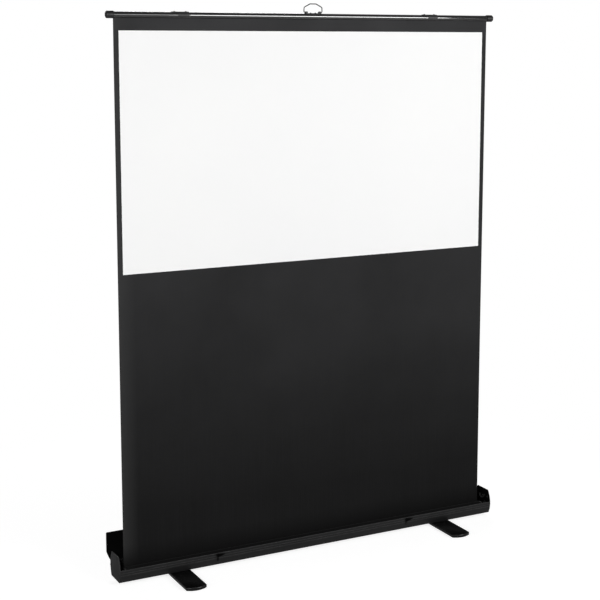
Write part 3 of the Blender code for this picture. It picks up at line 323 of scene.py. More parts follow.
# Places worked out from the sizes above
FOOT_Z = SOLE + GAP
FOOT_TOP = FOOT_Z + FOOT_THICKNESS
BASE_Z = FOOT_TOP + GAP
FLOOR_Z = BASE_Z + WALL
NUT_Z = FLOOR_Z + GAP
BOLT_TOP = NUT_Z + 1.8 * SHEET
HOUSING_TOP = BASE_Z + HOUSING_HEIGHT
CHANNEL_Z = BASE_Z + CHANNEL_LEVEL
HINGE_Y = BASE_Y + HOUSING_HALF_DEPTH + HINGE_STANDOFF
HINGE_Z = BASE_Z + HINGE_LEVEL
CLAW_RADIUS = BEAD_RADIUS + CLAW_CLEARANCE
ROLL_INNER = ROLLER_RADIUS + GAP
ROLL_OUTER = ROLL_INNER + ROLL_TURNS * ROLL_PITCH + ROLL_CLOTH
ROLLER_Y = -ROLL_OUTER
ROLLER_Z = BASE_Z + ROLLER_LEVEL
ROLLER_BORE = ROLLER_RADIUS - ROLLER_WALL
TUBE_Z = WHITE_TOP + TOP_BORDER + TUBE_RADIUS
TUBE_BORE = TUBE_RADIUS - TUBE_WALL
CAP_RADIUS = TUBE_RADIUS + RUN + CAP_WALL
REST_Z = BASE_Z + REST_LEVEL
SADDLE_RADIUS = TUBE_RADIUS + GAP
SADDLE_OUTER = SADDLE_RADIUS + CLIP_SHEET
LATCH_PIN_Z = BASE_Z + LATCH_PIN_LEVEL
HANDLE_AXIS_Z = TUBE_Z + TUBE_RADIUS + HANDLE_AXIS_RISE
HOOK_BACK = BASE_Y - HOUSING_HALF_DEPTH - 3 * GAP - KEEPER_THICKNESS

# World axes of a piece: the one it runs along, then those of its outline
AXES = {"X": [0, 1, 2], "Y": [1, 0, 2], "Z": [2, 0, 1]}


class Shape(NamedTuple):
    """Points, the quads between them, the flat faces that close it, and how worn each point is."""

    points: np.ndarray
    quads: np.ndarray
    caps: list
    worn: np.ndarray


# Outlines


def place(axis, along, plane):
    """World points for (u, v) points of an outline, at a place along an axis."""
    plane = np.asarray(plane, dtype=float)
    points = np.empty((*plane.shape[:-1], 3))
    points[..., AXES[axis][0]] = along
    points[..., AXES[axis][1:]] = plane
    return points


def arc(centre, radius, start, end, steps):
    """Points centre + radius · (cos a, sin a) while a goes from start to end, in degrees."""
    angles = np.radians(np.linspace(start, end, steps + 1))
    return np.asarray(centre) + radius * np.column_stack([np.cos(angles), np.sin(angles)])


def circle(centre, radius, sides=48):
    """Anticlockwise circle of points, the way an outline runs."""
    return arc(centre, radius, 0, 360, sides)[:-1]


def hole(centre, radius, sides=32):
    """Clockwise circle of points, the way a hole runs."""
    return circle(centre, radius, sides)[::-1]


def unit(vectors):
    """Vectors divided by their length."""
    return vectors / np.linalg.norm(vectors, axis=-1, keepdims=True)


def rounded(corners, steps=8):
    """Outline through corners (u, v, radius), each an arc that touches both its sides.

    The arc's centre lies radius / sin(half the corner) along the line that halves the corner.
    """
    corners = np.asarray(corners, dtype=float)
    corner = corners[:, :2]
    radius = corners[:, 2:]
    before = unit(np.roll(corner, 1, axis=0) - corner)
    after = unit(np.roll(corner, -1, axis=0) - corner)
    half = np.arccos(np.clip((before * after).sum(axis=1, keepdims=True), -1, 1)) / 2
    middle = before + after
    middle /= np.maximum(np.linalg.norm(middle, axis=1, keepdims=True), 1e-9)
    to_centre = middle * radius / np.maximum(np.sin(half), 1e-6)
    touch = radius / np.maximum(np.tan(half), 1e-6)
    first = before * touch - to_centre
    last = after * touch - to_centre
    cross = (left_of(first) * last).sum(axis=1)
    turn = np.arctan2(cross, (first * last).sum(axis=1))[:, None] * np.linspace(0, 1, steps + 1)
    swept = np.cos(turn)[..., None] * first[:, None] + np.sin(turn)[..., None] * left_of(first)[:, None]
    points = (corner + to_centre)[:, None] + swept
    points = np.where(radius[:, None] > 0, points, corner[:, None]).reshape(-1, 2)
    new = np.ones(len(points), dtype=bool)
    new[1:] = np.abs(np.diff(points, axis=0)).max(axis=1) > 1e-9
    return points[new]


def bar_outline(low, high, radius, across=0.0, steps=24):
    """Bar with round ends, standing between v = low and v = high."""
    ends = [arc((across, high), radius, 0, 180, steps), arc((across, low), radius, 180, 360, steps)]
    return np.vstack(ends)


def left_of(vectors):
    """Vectors (u, v) turned a quarter to their left: (-v, u)."""
    return np.column_stack([-vectors[:, 1], vectors[:, 0]])


def inset(loop, distance):
    """Loop moved to the left of its own direction, which is into the material, corners mitred."""
    ahead = unit(np.roll(loop, -1, axis=0) - loop)
    behind = np.roll(ahead, 1, axis=0)
    share = 1 + (ahead * behind).sum(axis=1, keepdims=True)
    return loop + distance * (left_of(ahead) + left_of(behind)) / np.maximum(share, 0.3)


def sharpness(loop):
    """How worn each point's bend makes it: the turn there over half the length of its two sides.

    It is 0 up to the first of the two bends at which edges wear and 1 from the second on.
    """
    ahead = np.roll(loop, -1, axis=0) - loop
    length = np.linalg.norm(ahead, axis=1)
    ahead /= length[:, None]
    behind = np.roll(ahead, 1, axis=0)
    turn = np.arctan2((left_of(behind) * ahead).sum(axis=1), (behind * ahead).sum(axis=1))
    bend = turn / np.maximum((length + np.roll(length, 1)) / 2, 1e-5)
    slight, full = WORN_BENDS
    return np.clip((bend - slight) / (full - slight), 0, 1)


# Surfaces


def grid(rows, columns, hollow=False):
    """Quads between points whose rows are closed rings. A hollow grid is closed both ways."""
    index = np.arange(rows * columns).reshape(rows, columns)
    index = np.hstack([index, index[:, :1]])
    if hollow:
        index = np.vstack([index, index[:1]])
    corners = [index[:-1, :-1], index[:-1, 1:], index[1:, 1:], index[1:, :-1]]
    return np.stack(corners, axis=-1).reshape(-1, 4)


def skin(rings, worn=None, hollow=False):
    """Closed skin over rings of points. Its two end rings are filled, unless it is hollow."""
    rows, columns, _ = rings.shape
    last = (rows - 1) * columns
    caps = [] if hollow else [list(range(columns)), list(range(last, last + columns))]
    worn = np.zeros((rows, columns)) if worn is None else np.broadcast_to(worn, (rows, columns))
    return Shape(rings.reshape(-1, 3), grid(rows, columns, hollow), caps, worn.reshape(-1))


def joined(shapes):
    """One shape out of several closed ones, their points counted on from each other."""
    starts = np.cumsum([0] + [len(shape.points) for shape in shapes]).tolist()
    quads = np.vstack([shape.quads + start for shape, start in zip(shapes, starts)])
    caps = []
    for shape, start in zip(shapes, starts):
        caps += [[corner + start for corner in cap] for cap in shape.caps]
    points = np.vstack([shape.points for shape in shapes])
    return Shape(points, quads, caps, np.concatenate([shape.worn for shape in shapes]))


def turned(profile, axis, centre, sides=48, hollow=False):
    """Profile of (place along the axis, radius) turned about it: centre + radius · (cos a, sin a)."""
    profile = np.asarray(profile, dtype=float)
    ring = circle((0, 0), 1, sides)
    plane = np.asarray(centre) + profile[:, 1, None, None] * ring
    return skin(place(axis, profile[:, :1], plane), hollow=hollow)


def rod(axis, low, high, radius, centre, sides=48):
    """Plain round bar between two places along an axis."""
    return turned([(low, radius), (high, radius)], axis, centre, sides)


def rim(low, high, edges, steps=4):
    """Places along a piece and how far its outline has shrunk there, for two quarter-round rims.

    Towards each face the place goes edge · (1 - cos a) and the outline edge · (1 - sin a).
    """
    turn = np.linspace(0, math.pi / 2, steps + 1)
    way = math.copysign(1, high - low)
    near, off = 1 - np.cos(turn), 1 - np.sin(turn)
    places = np.concatenate([low + way * edges[0] * near, (high - way * edges[1] * near)[::-1]])
    return places, np.concatenate([edges[0] * off, edges[1] * off[::-1]])


def plate(outline, axis, low, high, edges=(0.0, 0.0), holes=(), pockets=(), depths=(0.0, 0.0)):
    """Outline carried from low to high with rounded rims, holes through it and pockets in its faces.

    Outline points run anticlockwise and those of holes and pockets clockwise, so that the material
    is always on the left. A pocket's wall slopes, so its floor is smaller by half its depth.
    """
    places, shrunk = rim(low, high, edges) if max(edges) > 0 else (np.array([low, high]), np.zeros(2))
    loops = [np.asarray(loop, dtype=float) for loop in (outline, *holes)]
    shapes = []
    for loop in loops:
        rings = np.stack([inset(loop, distance) for distance in shrunk])
        worn = np.maximum(sharpness(loop), (shrunk / max(*edges, 1e-9))[:, None])
        shapes.append(skin(place(axis, places[:, None], rings), worn)._replace(caps=[]))
    ways = (1, -1) if high > low else (-1, 1)
    for end, way, depth in zip((0, -1), ways, depths):
        at = places[end]
        mouths = list(pockets) if depth else []
        face = [inset(loop, shrunk[end]) for loop in loops] + mouths
        flat = tessellate_polygon([[Vector((*point, 0)) * 1000 for point in loop] for loop in face])
        points = place(axis, at, np.vstack(face))
        no_quads = np.empty((0, 4), dtype=int)
        shapes.append(Shape(points, no_quads, [list(cap) for cap in flat], np.zeros(len(points))))
        for mouth in mouths:
            floor = inset(mouth, -depth / 2)
            sunk = skin(np.stack([place(axis, at, mouth), place(axis, at + way * depth, floor)]))
            shapes.append(sunk._replace(caps=sunk.caps[1:]))
    return joined(shapes)


def wire(path, across, radius, sides=24):
    """Round wire: rings of radius · (cos a · across + sin a · tangent × across), with domed ends.

    The path lies in a plane, and across is that plane's normal.
    """
    tangent = unit(np.gradient(path, axis=0))
    turn = np.linspace(0.15, math.pi / 2, 6)[:-1]
    past = radius * np.cos(turn)[:, None]
    radii = np.concatenate([np.sin(turn), np.ones(len(path)), np.sin(turn[::-1])]) * radius
    path = np.vstack([path[0] - past * tangent[0], path, path[-1] + past[::-1] * tangent[-1]])
    tangent = np.pad(tangent, ((len(turn), len(turn)), (0, 0)), "edge")
    angles = (2 * math.pi * np.arange(sides) / sides)[:, None]
    spokes = np.cos(angles) * across + np.sin(angles) * np.cross(tangent, across)[:, None]
    return skin(path[:, None] + radii[:, None, None] * spokes)


def strip(path, half_widths, thickness, x, edge=0.0003):
    """Flat strip bent along a path in the (y, z) plane, its own half width at each point.

    Each ring is a rectangle of half width by thickness whose corners are quarter circles of radius edge.
    """
    path = np.asarray(path, dtype=float)
    normal = left_of(unit(np.gradient(path, axis=0)))
    turn = np.radians(np.array([0, 30, 60, 90]) + 90 * np.arange(4)[:, None]).reshape(-1)
    side = np.repeat([1, -1, -1, 1], 4)
    face = np.repeat([1, 1, -1, -1], 4)
    across = side * (np.asarray(half_widths)[:, None] - edge) + edge * np.cos(turn)
    off = face * (thickness / 2 - edge) + edge * np.sin(turn)
    rings = np.empty((len(path), len(turn), 3))
    rings[..., 0] = x + across
    rings[..., 1:] = path[:, None] + off[:, None] * normal[:, None]
    return skin(rings, 0.6)


# Pieces


def linked(name, data):
    """New object in the scene, of a mesh, a lamp or a camera."""
    made = bpy.data.objects.new(name, data)
    bpy.context.scene.collection.objects.link(made)
    return made


def cut(whole, tools):
    """Cut tools out of an object and keep what is left as its mesh."""
    cutters = [bare_object(f"{whole.name}_cut_{index}", tool) for index, tool in enumerate(tools)]
    for cutter in cutters:
        modifier = whole.modifiers.new(cutter.name, "BOOLEAN")
        modifier.solver = "EXACT"
        modifier.object = cutter
    graph = bpy.context.evaluated_depsgraph_get()
    left_over = bpy.data.meshes.new_from_object(whole.evaluated_get(graph))
    whole.modifiers.clear()
    for cutter in cutters:
        bpy.data.objects.remove(cutter)
    whole.data = left_over


def bare_object(name, shape):
    """Object of a shape at the origin, smooth between its quads and flat on its caps."""
    mesh = bpy.data.meshes.new(name)
    mesh.from_pydata(shape.points.tolist(), [], shape.quads.tolist() + shape.caps)
    smooth = np.zeros(len(mesh.polygons), dtype=bool)
    smooth[: len(shape.quads)] = True
    mesh.polygons.foreach_set("use_smooth", smooth)
    worn = np.zeros(len(mesh.loops), dtype=np.float32)
    worn[: shape.quads.size] = shape.worn[shape.quads].reshape(-1)
    mesh.attributes.new("worn", "FLOAT", "CORNER").data.foreach_set("value", worn)
    surface = bmesh.new()
    surface.from_mesh(mesh)
    bmesh.ops.remove_doubles(surface, verts=surface.verts, dist=1e-7)
    bmesh.ops.recalc_face_normals(surface, faces=surface.faces)
    surface.to_mesh(mesh)
    surface.free()
    return linked(name, mesh)


def piece(name, nodes, finish, shapes, tools=(), sharp=36):
    """Finished piece that stands for CAD nodes and rides on their body."""
    nodes = [nodes] if isinstance(nodes, str) else nodes
    made = bare_object(name, joined(shapes))
    if tools:
        cut(made, tools)
    made.data.set_sharp_from_angle(angle=math.radians(sharp))
    made.data.materials.clear()
    made.data.materials.append(finish.material)
    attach(made, body_of(frame["nodes"][nodes[0]])[0])
    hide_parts(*nodes)
    return made


# Finishes


def feed(tree, socket, value):
    """Link a socket to an output, or set it to a value. None leaves it as it is."""
    if isinstance(value, bpy.types.NodeSocket):
        tree.links.new(value, socket)
    elif value is not None:
        socket.default_value = value


def add_node(tree, kind, *values, **settings):
    """New shader node with its settings and, in order, its inputs: a value, a link or None."""
    made = tree.nodes.new(f"ShaderNode{kind}")
    for name, value in settings.items():
        setattr(made, name, value)
    for socket, value in zip(made.inputs, values):
        feed(tree, socket, value)
    return made


class Finish:
    """Principled shader with a node graph on Object coordinates, and the record's slot it belongs to."""

    def __init__(self, name, slot, **sockets):
        self.slot = slot
        self.material = bpy.data.materials.new(name)
        self.material.use_nodes = True
        self.tree = self.material.node_tree
        self.shader = self.tree.nodes["Principled BSDF"]
        self.position = self.node("TexCoord").outputs["Object"]
        self.set(**sockets)

    def set(self, **sockets):
        """Give the shader's sockets their values or links. A socket's name has _ for each space."""
        for socket, value in sockets.items():
            feed(self.tree, self.shader.inputs[socket.replace("_", " ")], value)
        return self

    def node(self, kind, *values, **settings):
        """New node of this finish, as add_node makes it."""
        return add_node(self.tree, kind, *values, **settings)

    def along(self, axis):
        """Place along an axis of the world: 0, 1 or 2."""
        return self.node("SeparateXYZ", self.position).outputs[axis]

    def noise(self, scale, detail=3.0, stretch=(1, 1, 1)):
        """Cloudy noise from 0 to 1, its coordinates multiplied by a stretch along X, Y and Z."""
        place_there = self.node("Mapping", self.position, None, None, stretch).outputs[0]
        return self.node("TexNoise", place_there, None, scale, detail).outputs[0]

    def math(self, operation, first, second=None):
        """One sum on one or two numbers."""
        return self.node("Math", first, second, operation=operation).outputs[0]

    def between(self, value, low, high, start=0.3, end=0.7):
        """Value from start to end turned into a number from low to high."""
        return self.node("MapRange", value, start, end, low, high).outputs[0]

    def mixed(self, share, first, second):
        """Colour between two others. The Mix node's colours are its inputs 6 and 7, its output 2."""
        return self.node("Mix", share, *[None] * 5, first, second, data_type="RGBA").outputs[2]

    def worn(self, colour, light, amount=0.7):
        """Colour rubbed lighter where the worn attribute says so, more in some places than in others."""
        attribute = self.node("Attribute", attribute_name="worn").outputs["Fac"]
        broken = self.between(self.noise(70, 6), 0.35 * amount, amount, 0.42, 0.62)
        return self.mixed(self.math("MULTIPLY", attribute, broken), colour, light)

    def bump(self, height, distance, normal=None):
        """Normal of a height pattern that stands off by a distance, over another normal."""
        made = self.node("Bump")
        for socket, value in (("Distance", distance), ("Height", height), ("Normal", normal)):
            feed(self.tree, made.inputs[socket], value)
        return made.outputs[0]


def grey(value, tint=0.0):
    """Grey of a value, its blue raised by a tint."""
    return (value, value, value * (1 + tint), 1)


def powder_coat(name, slot, colour, roughness, level=0.3, rubbed=0.09, inside=None):
    """Satin black paint: fine peel, faint lines along the extrusion and edges rubbed grey.

    Where it has an inside, the faces closer than that to the middle are painted near black as painted
    shade.
    """
    finish = Finish(name, slot, Specular_IOR_Level=level)
    clouds = finish.between(finish.noise(5, 4), 0, 1)
    cloudy = finish.mixed(clouds, grey(0.82 * colour, 0.04), grey(1.22 * colour, 0.02))
    lines = finish.noise(1, 5, (0.7, 330, 330))
    paint = finish.mixed(finish.between(lines, 0, 0.35), cloudy, grey(2.1 * colour, 0.02))
    # painted shade: faces nearer the middle than the inside are painted near black
    if inside:
        outer = finish.between(finish.math("ABSOLUTE", finish.along(0)), 0, 1, inside, inside + 0.0004)
        paint = finish.mixed(outer, grey(0.0008), paint)
    return finish.set(
        Base_Color=finish.worn(paint, grey(rubbed)),
        Roughness=finish.between(finish.noise(9, 5), roughness - 0.06, roughness + 0.08),
        Normal=finish.bump(lines, 0.00001, finish.bump(finish.noise(900, 2), 0.000012)),
    )


def gloss_enamel(name, slot, colour, roughness):
    """Glossy black enamel over drawn tube, with a clear coat and hairline rubs round its length."""
    finish = Finish(name, slot, Coat_Weight=1.0, Coat_IOR=1.55, Coat_Roughness=0.045)
    rubs = finish.between(finish.noise(1, 6, (2.5, 420, 420)), 0, 0.5)
    base = finish.mixed(rubs, grey(colour, 0.05), grey(2.0 * colour))
    return finish.set(
        Specular_IOR_Level=0.5,
        Base_Color=finish.worn(base, grey(0.08)),
        Roughness=finish.between(finish.noise(16, 5), roughness - 0.04, roughness + 0.07),
        Normal=finish.bump(finish.noise(420, 2), 0.000006),
    )


def moulded(name, slot, colour, roughness, level=0.4, marks=0.07):
    """Moulded black plastic: fine spark-eroded grain, flow marks and paler rubbed rims."""
    finish = Finish(name, slot, Specular_IOR_Level=level)
    flow = finish.between(finish.noise(14, 4, (1, 0.3, 1)), 0, 1)
    base = finish.mixed(flow, grey(0.8 * colour), grey(1.3 * colour, 0.03))
    return finish.set(
        Base_Color=finish.worn(base, grey(0.05)),
        Roughness=finish.between(finish.noise(40, 5), roughness - marks, roughness + marks),
        Normal=finish.bump(finish.noise(2600, 3), 0.000015),
    )


def rubber_sole(name, slot):
    """Dull black rubber with fine ribs across its length, 4 mm apart, and dust in them."""
    finish = Finish(name, slot, Specular_IOR_Level=0.25)
    ribs = finish.math("SINE", finish.math("MULTIPLY", finish.along(1), 2 * math.pi / 0.004))
    dust = finish.between(finish.noise(120, 6), 0, 0.6, 0.45, 0.7)
    return finish.set(
        Base_Color=finish.mixed(dust, grey(0.010), grey(0.060)),
        Roughness=finish.between(finish.noise(30), 0.75, 0.95),
        Normal=finish.bump(ribs, 0.0002, finish.bump(finish.noise(1500, 2), 0.00002)),
    )


def zinc_steel(name, slot, tone=0.50):
    """Zinc-plated steel: pale metal with cloudy passivation and fine rolling lines."""
    finish = Finish(name, slot, Metallic=1.0)
    cloud = finish.between(finish.noise(60, 4), 0, 1)
    plating = finish.mixed(cloud, grey(tone, 0.02), grey(0.8 * tone, 0.05))
    lines = finish.noise(1, 4, (40, 900, 40))
    return finish.set(
        Base_Color=finish.worn(plating, grey(0.7)),
        Roughness=finish.between(lines, 0.28, 0.46),
        Normal=finish.bump(lines, 0.000006),
    )


def drawn_aluminium(name, slot):
    """Drawn aluminium tube, anodised dark, with lines along its length."""
    finish = Finish(name, slot, Metallic=1.0)
    lines = finish.noise(1, 6, (1.5, 900, 900))
    return finish.set(
        Base_Color=finish.mixed(finish.between(lines, 0, 1), grey(0.075), grey(0.12)),
        Roughness=finish.between(lines, 0.42, 0.58),
        Normal=finish.bump(lines, 0.000008),
    )


def woven(finish, pitch):
    """Height of a plain weave: threads over and under each other, as sin(x) · sin(z)."""
    turns = [finish.math("MULTIPLY", finish.along(axis), 2 * math.pi / pitch) for axis in (0, 2)]
    return finish.math("MULTIPLY", *(finish.math("SINE", turn) for turn in turns))


def backing_cloth(name, slot, low, high, roughness):
    """Matt black coated cloth: plain weave, faint vertical slubs and painted light that grows upwards.

    Its tone goes from low to high between two heights as painted light from above, with darker clouds,
    and the hem down in the housing is painted near black as painted shade. The border at the top is
    painted paler as painted light, and the left edge is painted paler as a painted sheen.
    """
    finish = Finish(name, slot, Specular_IOR_Level=0.12, Sheen_Weight=0.02, Sheen_Roughness=0.5)
    height = finish.along(2)
    # painted light: the border just under the tube is painted paler
    border = finish.between(height, 0, 1, *TOP_LIGHT_HEIGHTS)
    # painted sheen: the cloth's left edge is painted paler, where the left lamp would catch its curl
    edge = finish.between(finish.along(0), 0.5, 0, *LEFT_SHEEN_PLACES)
    clouds = finish.between(finish.noise(2.2, 4), 0, 0.5)
    slubs = finish.noise(1, 5, (650, 650, 4))
    # painted light: the cloth's tone rises with height, as if it were lit from above
    painted_light = finish.between(height, 0, 1, *PAINTED_LIGHT_HEIGHTS)
    colour = finish.mixed(painted_light, grey(low, 0.04), grey(high, 0.04))
    # the painted light on the top border
    colour = finish.mixed(border, colour, grey(TOP_LIGHT_LIFT * high, 0.04))
    colour = finish.mixed(clouds, colour, grey(0.75 * low, 0.04))
    colour = finish.mixed(finish.between(slubs, 0, 0.12, 0.45, 0.75), colour, grey(high))
    # the painted sheen on the left edge
    colour = finish.mixed(edge, colour, grey(LEFT_SHEEN_LIFT * high))
    return finish.set(
        # painted shade: the cloth down by the housing's lip is painted near black
        Base_Color=finish.mixed(finish.between(height, 0.8, 0, *SLOT_SHADE_HEIGHTS), colour, grey(0.0005)),
        Roughness=finish.between(finish.noise(6, 4), roughness - 0.05, roughness + 0.05),
        Normal=finish.bump(woven(finish, 0.0009), 0.00004, finish.bump(slubs, 0.00002)),
    )


def viewing_surface(name, slot):
    """Matt white vinyl: very fine embossed grain, almost even in tone."""
    finish = Finish(name, slot, Specular_IOR_Level=0.2)
    even = finish.between(finish.noise(1.5, 3), 0, 1)
    return finish.set(
        Base_Color=finish.mixed(even, grey(0.865), grey(0.885, -0.005)),
        Roughness=finish.between(finish.noise(700, 2), 0.72, 0.88),
        Normal=finish.bump(finish.noise(1600, 2), 0.00002),
    )


# Heights and places between which the cloth's painted light and painted shade change, and how much paler
# the painted light makes it there
PAINTED_LIGHT_HEIGHTS = (0.22, 1.08)
SLOT_SHADE_HEIGHTS = (0.055, 0.120)
TOP_LIGHT_HEIGHTS = (1.72, 1.75)
TOP_LIGHT_LIFT = 1.42
LEFT_SHEEN_PLACES = (-0.682, -0.627)
LEFT_SHEEN_LIFT = 1.52

HOUSING_PAINT = powder_coat(
    "satin_black_housing", "housing_paint", 0.008, 0.42, level=0.25, rubbed=0.07
)
# The end plates' inner faces are painted near black: painted shade
PLATE_PAINT = powder_coat(
    "satin_black_plates",
    "housing_paint",
    0.019,
    0.55,
    level=0.10,
    rubbed=0.12,
    inside=INSIDE_HALF + 0.0002,
)
# A darker copy of the housing paint: painted shade on the open lid and on the tube rests' backs
SHADED_LID_PAINT = powder_coat("satin_black_lid", "housing_paint", 0.002, 0.50, level=0.10)
ARM_PAINT = powder_coat("satin_black_arms", "housing_paint", 0.0125, 0.50)
TUBE_ENAMEL = gloss_enamel("gloss_black_tube", "gloss_paint", 0.004, 0.10)
CLIP_PAINT = powder_coat("satin_black_clips", "gloss_paint", 0.014, 0.42)
HANDLE_PAINT = powder_coat("satin_black_handle", "gloss_paint", 0.020, 0.38)
SCREW_BLACK = powder_coat("blackened_screws", "housing_paint", 0.008, 0.40)
FOOT_PLASTIC = moulded(
    "moulded_black_feet", "black_plastic", 0.0016, 0.24, level=0.35, marks=0.02
)
CAP_PLASTIC = moulded("moulded_black_caps", "black_plastic", 0.010, 0.42)
LATCH_PLASTIC = moulded("moulded_black_latches", "black_plastic", 0.0008, 0.60, level=0.03)
SOLE_RUBBER = rubber_sole("ribbed_rubber", "rubber")
PLATED_STEEL = zinc_steel("zinc_plated_steel", "steel")
ROLLER_METAL = drawn_aluminium("anodised_aluminium", "roller_aluminium")
# Its tone goes from 0.0046 low down to 0.0265 higher up: painted light from above
CLOTH_BLACK = backing_cloth("black_backing_cloth", "black_cloth", 0.0046, 0.0265, 0.72)
CLOTH_WHITE = viewing_surface("matt_white_vinyl", "white_cloth")


# Base housing


def half_depth(z):
    """Half the depth of the barrel-shaped housing at a height: its widest less (rise² / 2 radii)."""
    return HOUSING_HALF_DEPTH - (z - BASE_Z - BULGE_LEVEL) ** 2 / (2 * BULGE_RADIUS)


def wall(side, low, high, depth=0.0, steps=14):
    """Corners (y, z, 0) up the front (-1) or back (1) wall, at a depth inside its outer face."""
    z = np.linspace(low, high, steps + 1)
    return np.column_stack([BASE_Y + side * (half_depth(z) - depth), z, np.zeros(steps + 1)])


def plain(points):
    """Points of an outline as corners without a radius."""
    return np.column_stack([points, np.zeros(len(points))])


def box_outline(left, right, low, high, low_radius, high_radius):
    """Rectangle with one radius for its two low corners and one for its two high ones."""
    low_corners = [(left, low, low_radius), (right, low, low_radius)]
    return rounded([*low_corners, (right, high, high_radius), (left, high, high_radius)])


def lug_outline(centre, radius, half_width, root):
    """Half circle above a centre, on a foot of its own half width at the level of its root."""
    foot_corners = [(centre[0] - half_width, root), (centre[0] + half_width, root)]
    return np.vstack([arc(centre, radius, 0, 180, 24), foot_corners])


def stepped(places, radii):
    """Profile (place, radius) of a shaft that keeps each radius from one place to the next."""
    return np.column_stack([np.repeat(places, 2)[1:-1], np.repeat(radii, 2)])


def dome(seat, radius, height, step=0.0):
    """Profile of a domed head: radius · cos a, at seat + height · (step + (1 - step) · sin a)."""
    turn = np.radians(np.linspace(0, 88, 9))
    return np.column_stack([seat + height * (step + (1 - step) * np.sin(turn)), radius * np.cos(turn)])


def screw_place(side):
    """Centre (y, z) of a wall's screw channel, a share of its radius clear of the wall."""
    return BASE_Y + side * (half_depth(CHANNEL_Z) - WALL - CHANNEL_SEAT * CHANNEL_RADIUS), CHANNEL_Z


def inner_wall(side, top):
    """Corners down the inside of a wall, round its C-shaped screw channel, to the floor."""
    centre = screw_place(1)
    opening = CHANNEL_OPENING
    root = math.degrees(math.acos(CHANNEL_SEAT))
    channel = [
        arc(centre, CHANNEL_RADIUS, root, opening, 12),
        arc(centre, SCREW_RADIUS + 2 * RUN, opening, -opening, 24),
        arc(centre, CHANNEL_RADIUS, -opening, -root, 12),
    ]
    rise = CHANNEL_RADIUS * math.sin(math.radians(root)) + GAP
    upper = wall(1, CHANNEL_Z + rise, top, WALL, 6)[::-1]
    lower = wall(1, FLOOR_Z, CHANNEL_Z - rise, WALL, 12)[::-1]
    corners = np.vstack([upper, plain(np.vstack(channel)), lower])
    corners[:, 0] = BASE_Y + side * (corners[:, 0] - BASE_Y)
    return corners


def hinge_bead():
    """Corners out along the neck, round the hinge bead and back to the rear wall."""
    half_angle = math.degrees(math.asin(NECK / 2 / BEAD_RADIUS))
    start, end = NECK_ANGLE + half_angle, NECK_ANGLE + 360 - half_angle
    bead = arc((HINGE_Y, HINGE_Z), BEAD_RADIUS, start, end, 36)
    slope = math.tan(math.radians(NECK_ANGLE))
    ends = bead[[0, -1]]
    root_z = ends[:, 1] - (ends[:, 0] - BASE_Y - HOUSING_HALF_DEPTH) * slope
    roots = np.column_stack([BASE_Y + half_depth(root_z), root_z])
    return plain(np.vstack([roots[:1], bead, roots[1:]]))


def trough_outline():
    """Section of the base: floor, back wall with the hinge bead, and grooved front wall."""
    rear_top = BASE_Z + REAR_WALL
    front_top = BASE_Z + FRONT_WALL
    bead = hinge_bead()
    rear = wall(1, BASE_Z, bead[0, 1] - 2 * GAP, 0, 14)
    above = wall(1, bead[-1, 1] + GAP, rear_top, 0, 2)
    front = []
    low = BASE_Z
    for level in GROOVE_LEVELS:
        front.append(wall(-1, low, BASE_Z + level - GROOVE_DEPTH, 0, 8))
        front.append(wall(-1, BASE_Z + level, BASE_Z + level, GROOVE_DEPTH, 0))
        low = BASE_Z + level + GROOVE_DEPTH
    front = np.vstack([*front, wall(-1, low, front_top, 0, 8)])
    rear[0, 2] = front[0, 2] = HOUSING_CORNER
    front[-1, 2] = WALL / 2
    lip_y = front[-1, 0] + WALL_LIP
    lip = [(lip_y, front_top - LIP_WALL, 0), (lip_y, front_top, WALL / 3)]
    inside = [inner_wall(1, rear_top), inner_wall(-1, front_top - LIP_WALL)[::-1]]
    return rounded(np.vstack([rear, bead, above, *inside, lip, front[::-1]]), 6)


def base_housing():
    """Extruded trough with the holes for the feet's bolts."""
    holes = []
    for side in SIDES.values():
        holes.append(rod("Z", BASE_Z - WALL, FLOOR_Z + WALL, BOLT_RADIUS + RUN, (side * FOOT_X, 0)))
    length = INSIDE_HALF - GAP
    trough = plate(trough_outline(), "X", -length, length)
    piece("housing_base", "base_trough", HOUSING_PAINT, [trough], holes, 28)


def end_plate(name, side):
    """Pressed plate with the outline of the closed housing, its rims rounded."""
    front, rear = (wall(way, BASE_Z, HOUSING_TOP, 0, 28) for way in (-1, 1))
    front[0, 2] = rear[0, 2] = HOUSING_CORNER
    front[-1, 2] = rear[-1, 2] = LID_CORNER
    outline = rounded(np.vstack([rear, front[::-1]]), 10)
    holes = [hole(screw_place(way), SCREW_RADIUS + RUN, 24) for way in (-1, 1)]
    shape = plate(outline, "X", side * INSIDE_HALF, side * BASE_HALF, PLATE_EDGES, holes)
    piece(f"housing_{name}", name, PLATE_PAINT, [shape])


def cross_outline(centre, reach, half_width):
    """Cross-shaped recess, clockwise: the corners of one arm turned by 45°, 135°, 225° and 315°."""
    corners = np.array([(half_width, half_width), (half_width, reach), (-half_width, reach)])
    turns = np.radians(45 + 90 * np.arange(4))
    rows = [np.stack([np.cos(turns), -np.sin(turns)], -1), np.stack([np.sin(turns), np.cos(turns)], -1)]
    cross = np.einsum("nij,kj->nki", np.stack(rows, 1), corners).reshape(-1, 2)
    return np.asarray(centre) + cross[::-1]


def plate_screw(name, side, way):
    """Pan-head screw with a cross recess."""
    centre = screw_place(way)
    seat = side * (BASE_HALF + GAP)
    disc = circle(centre, SCREW_HEAD_RADIUS, 32)
    recess = [cross_outline(centre, *SCREW_CROSS)]
    depths = (0, SCREW_CROSS_DEPTH)
    head = plate(disc, "X", seat, seat + side * SCREW_HEAD, SCREW_EDGES, (), recess, depths)
    shank = rod("X", seat, seat - side * SCREW_LENGTH, SCREW_RADIUS, centre, 24)
    piece(f"cross_{name}", name, SCREW_BLACK, [head, shank])


# Feet


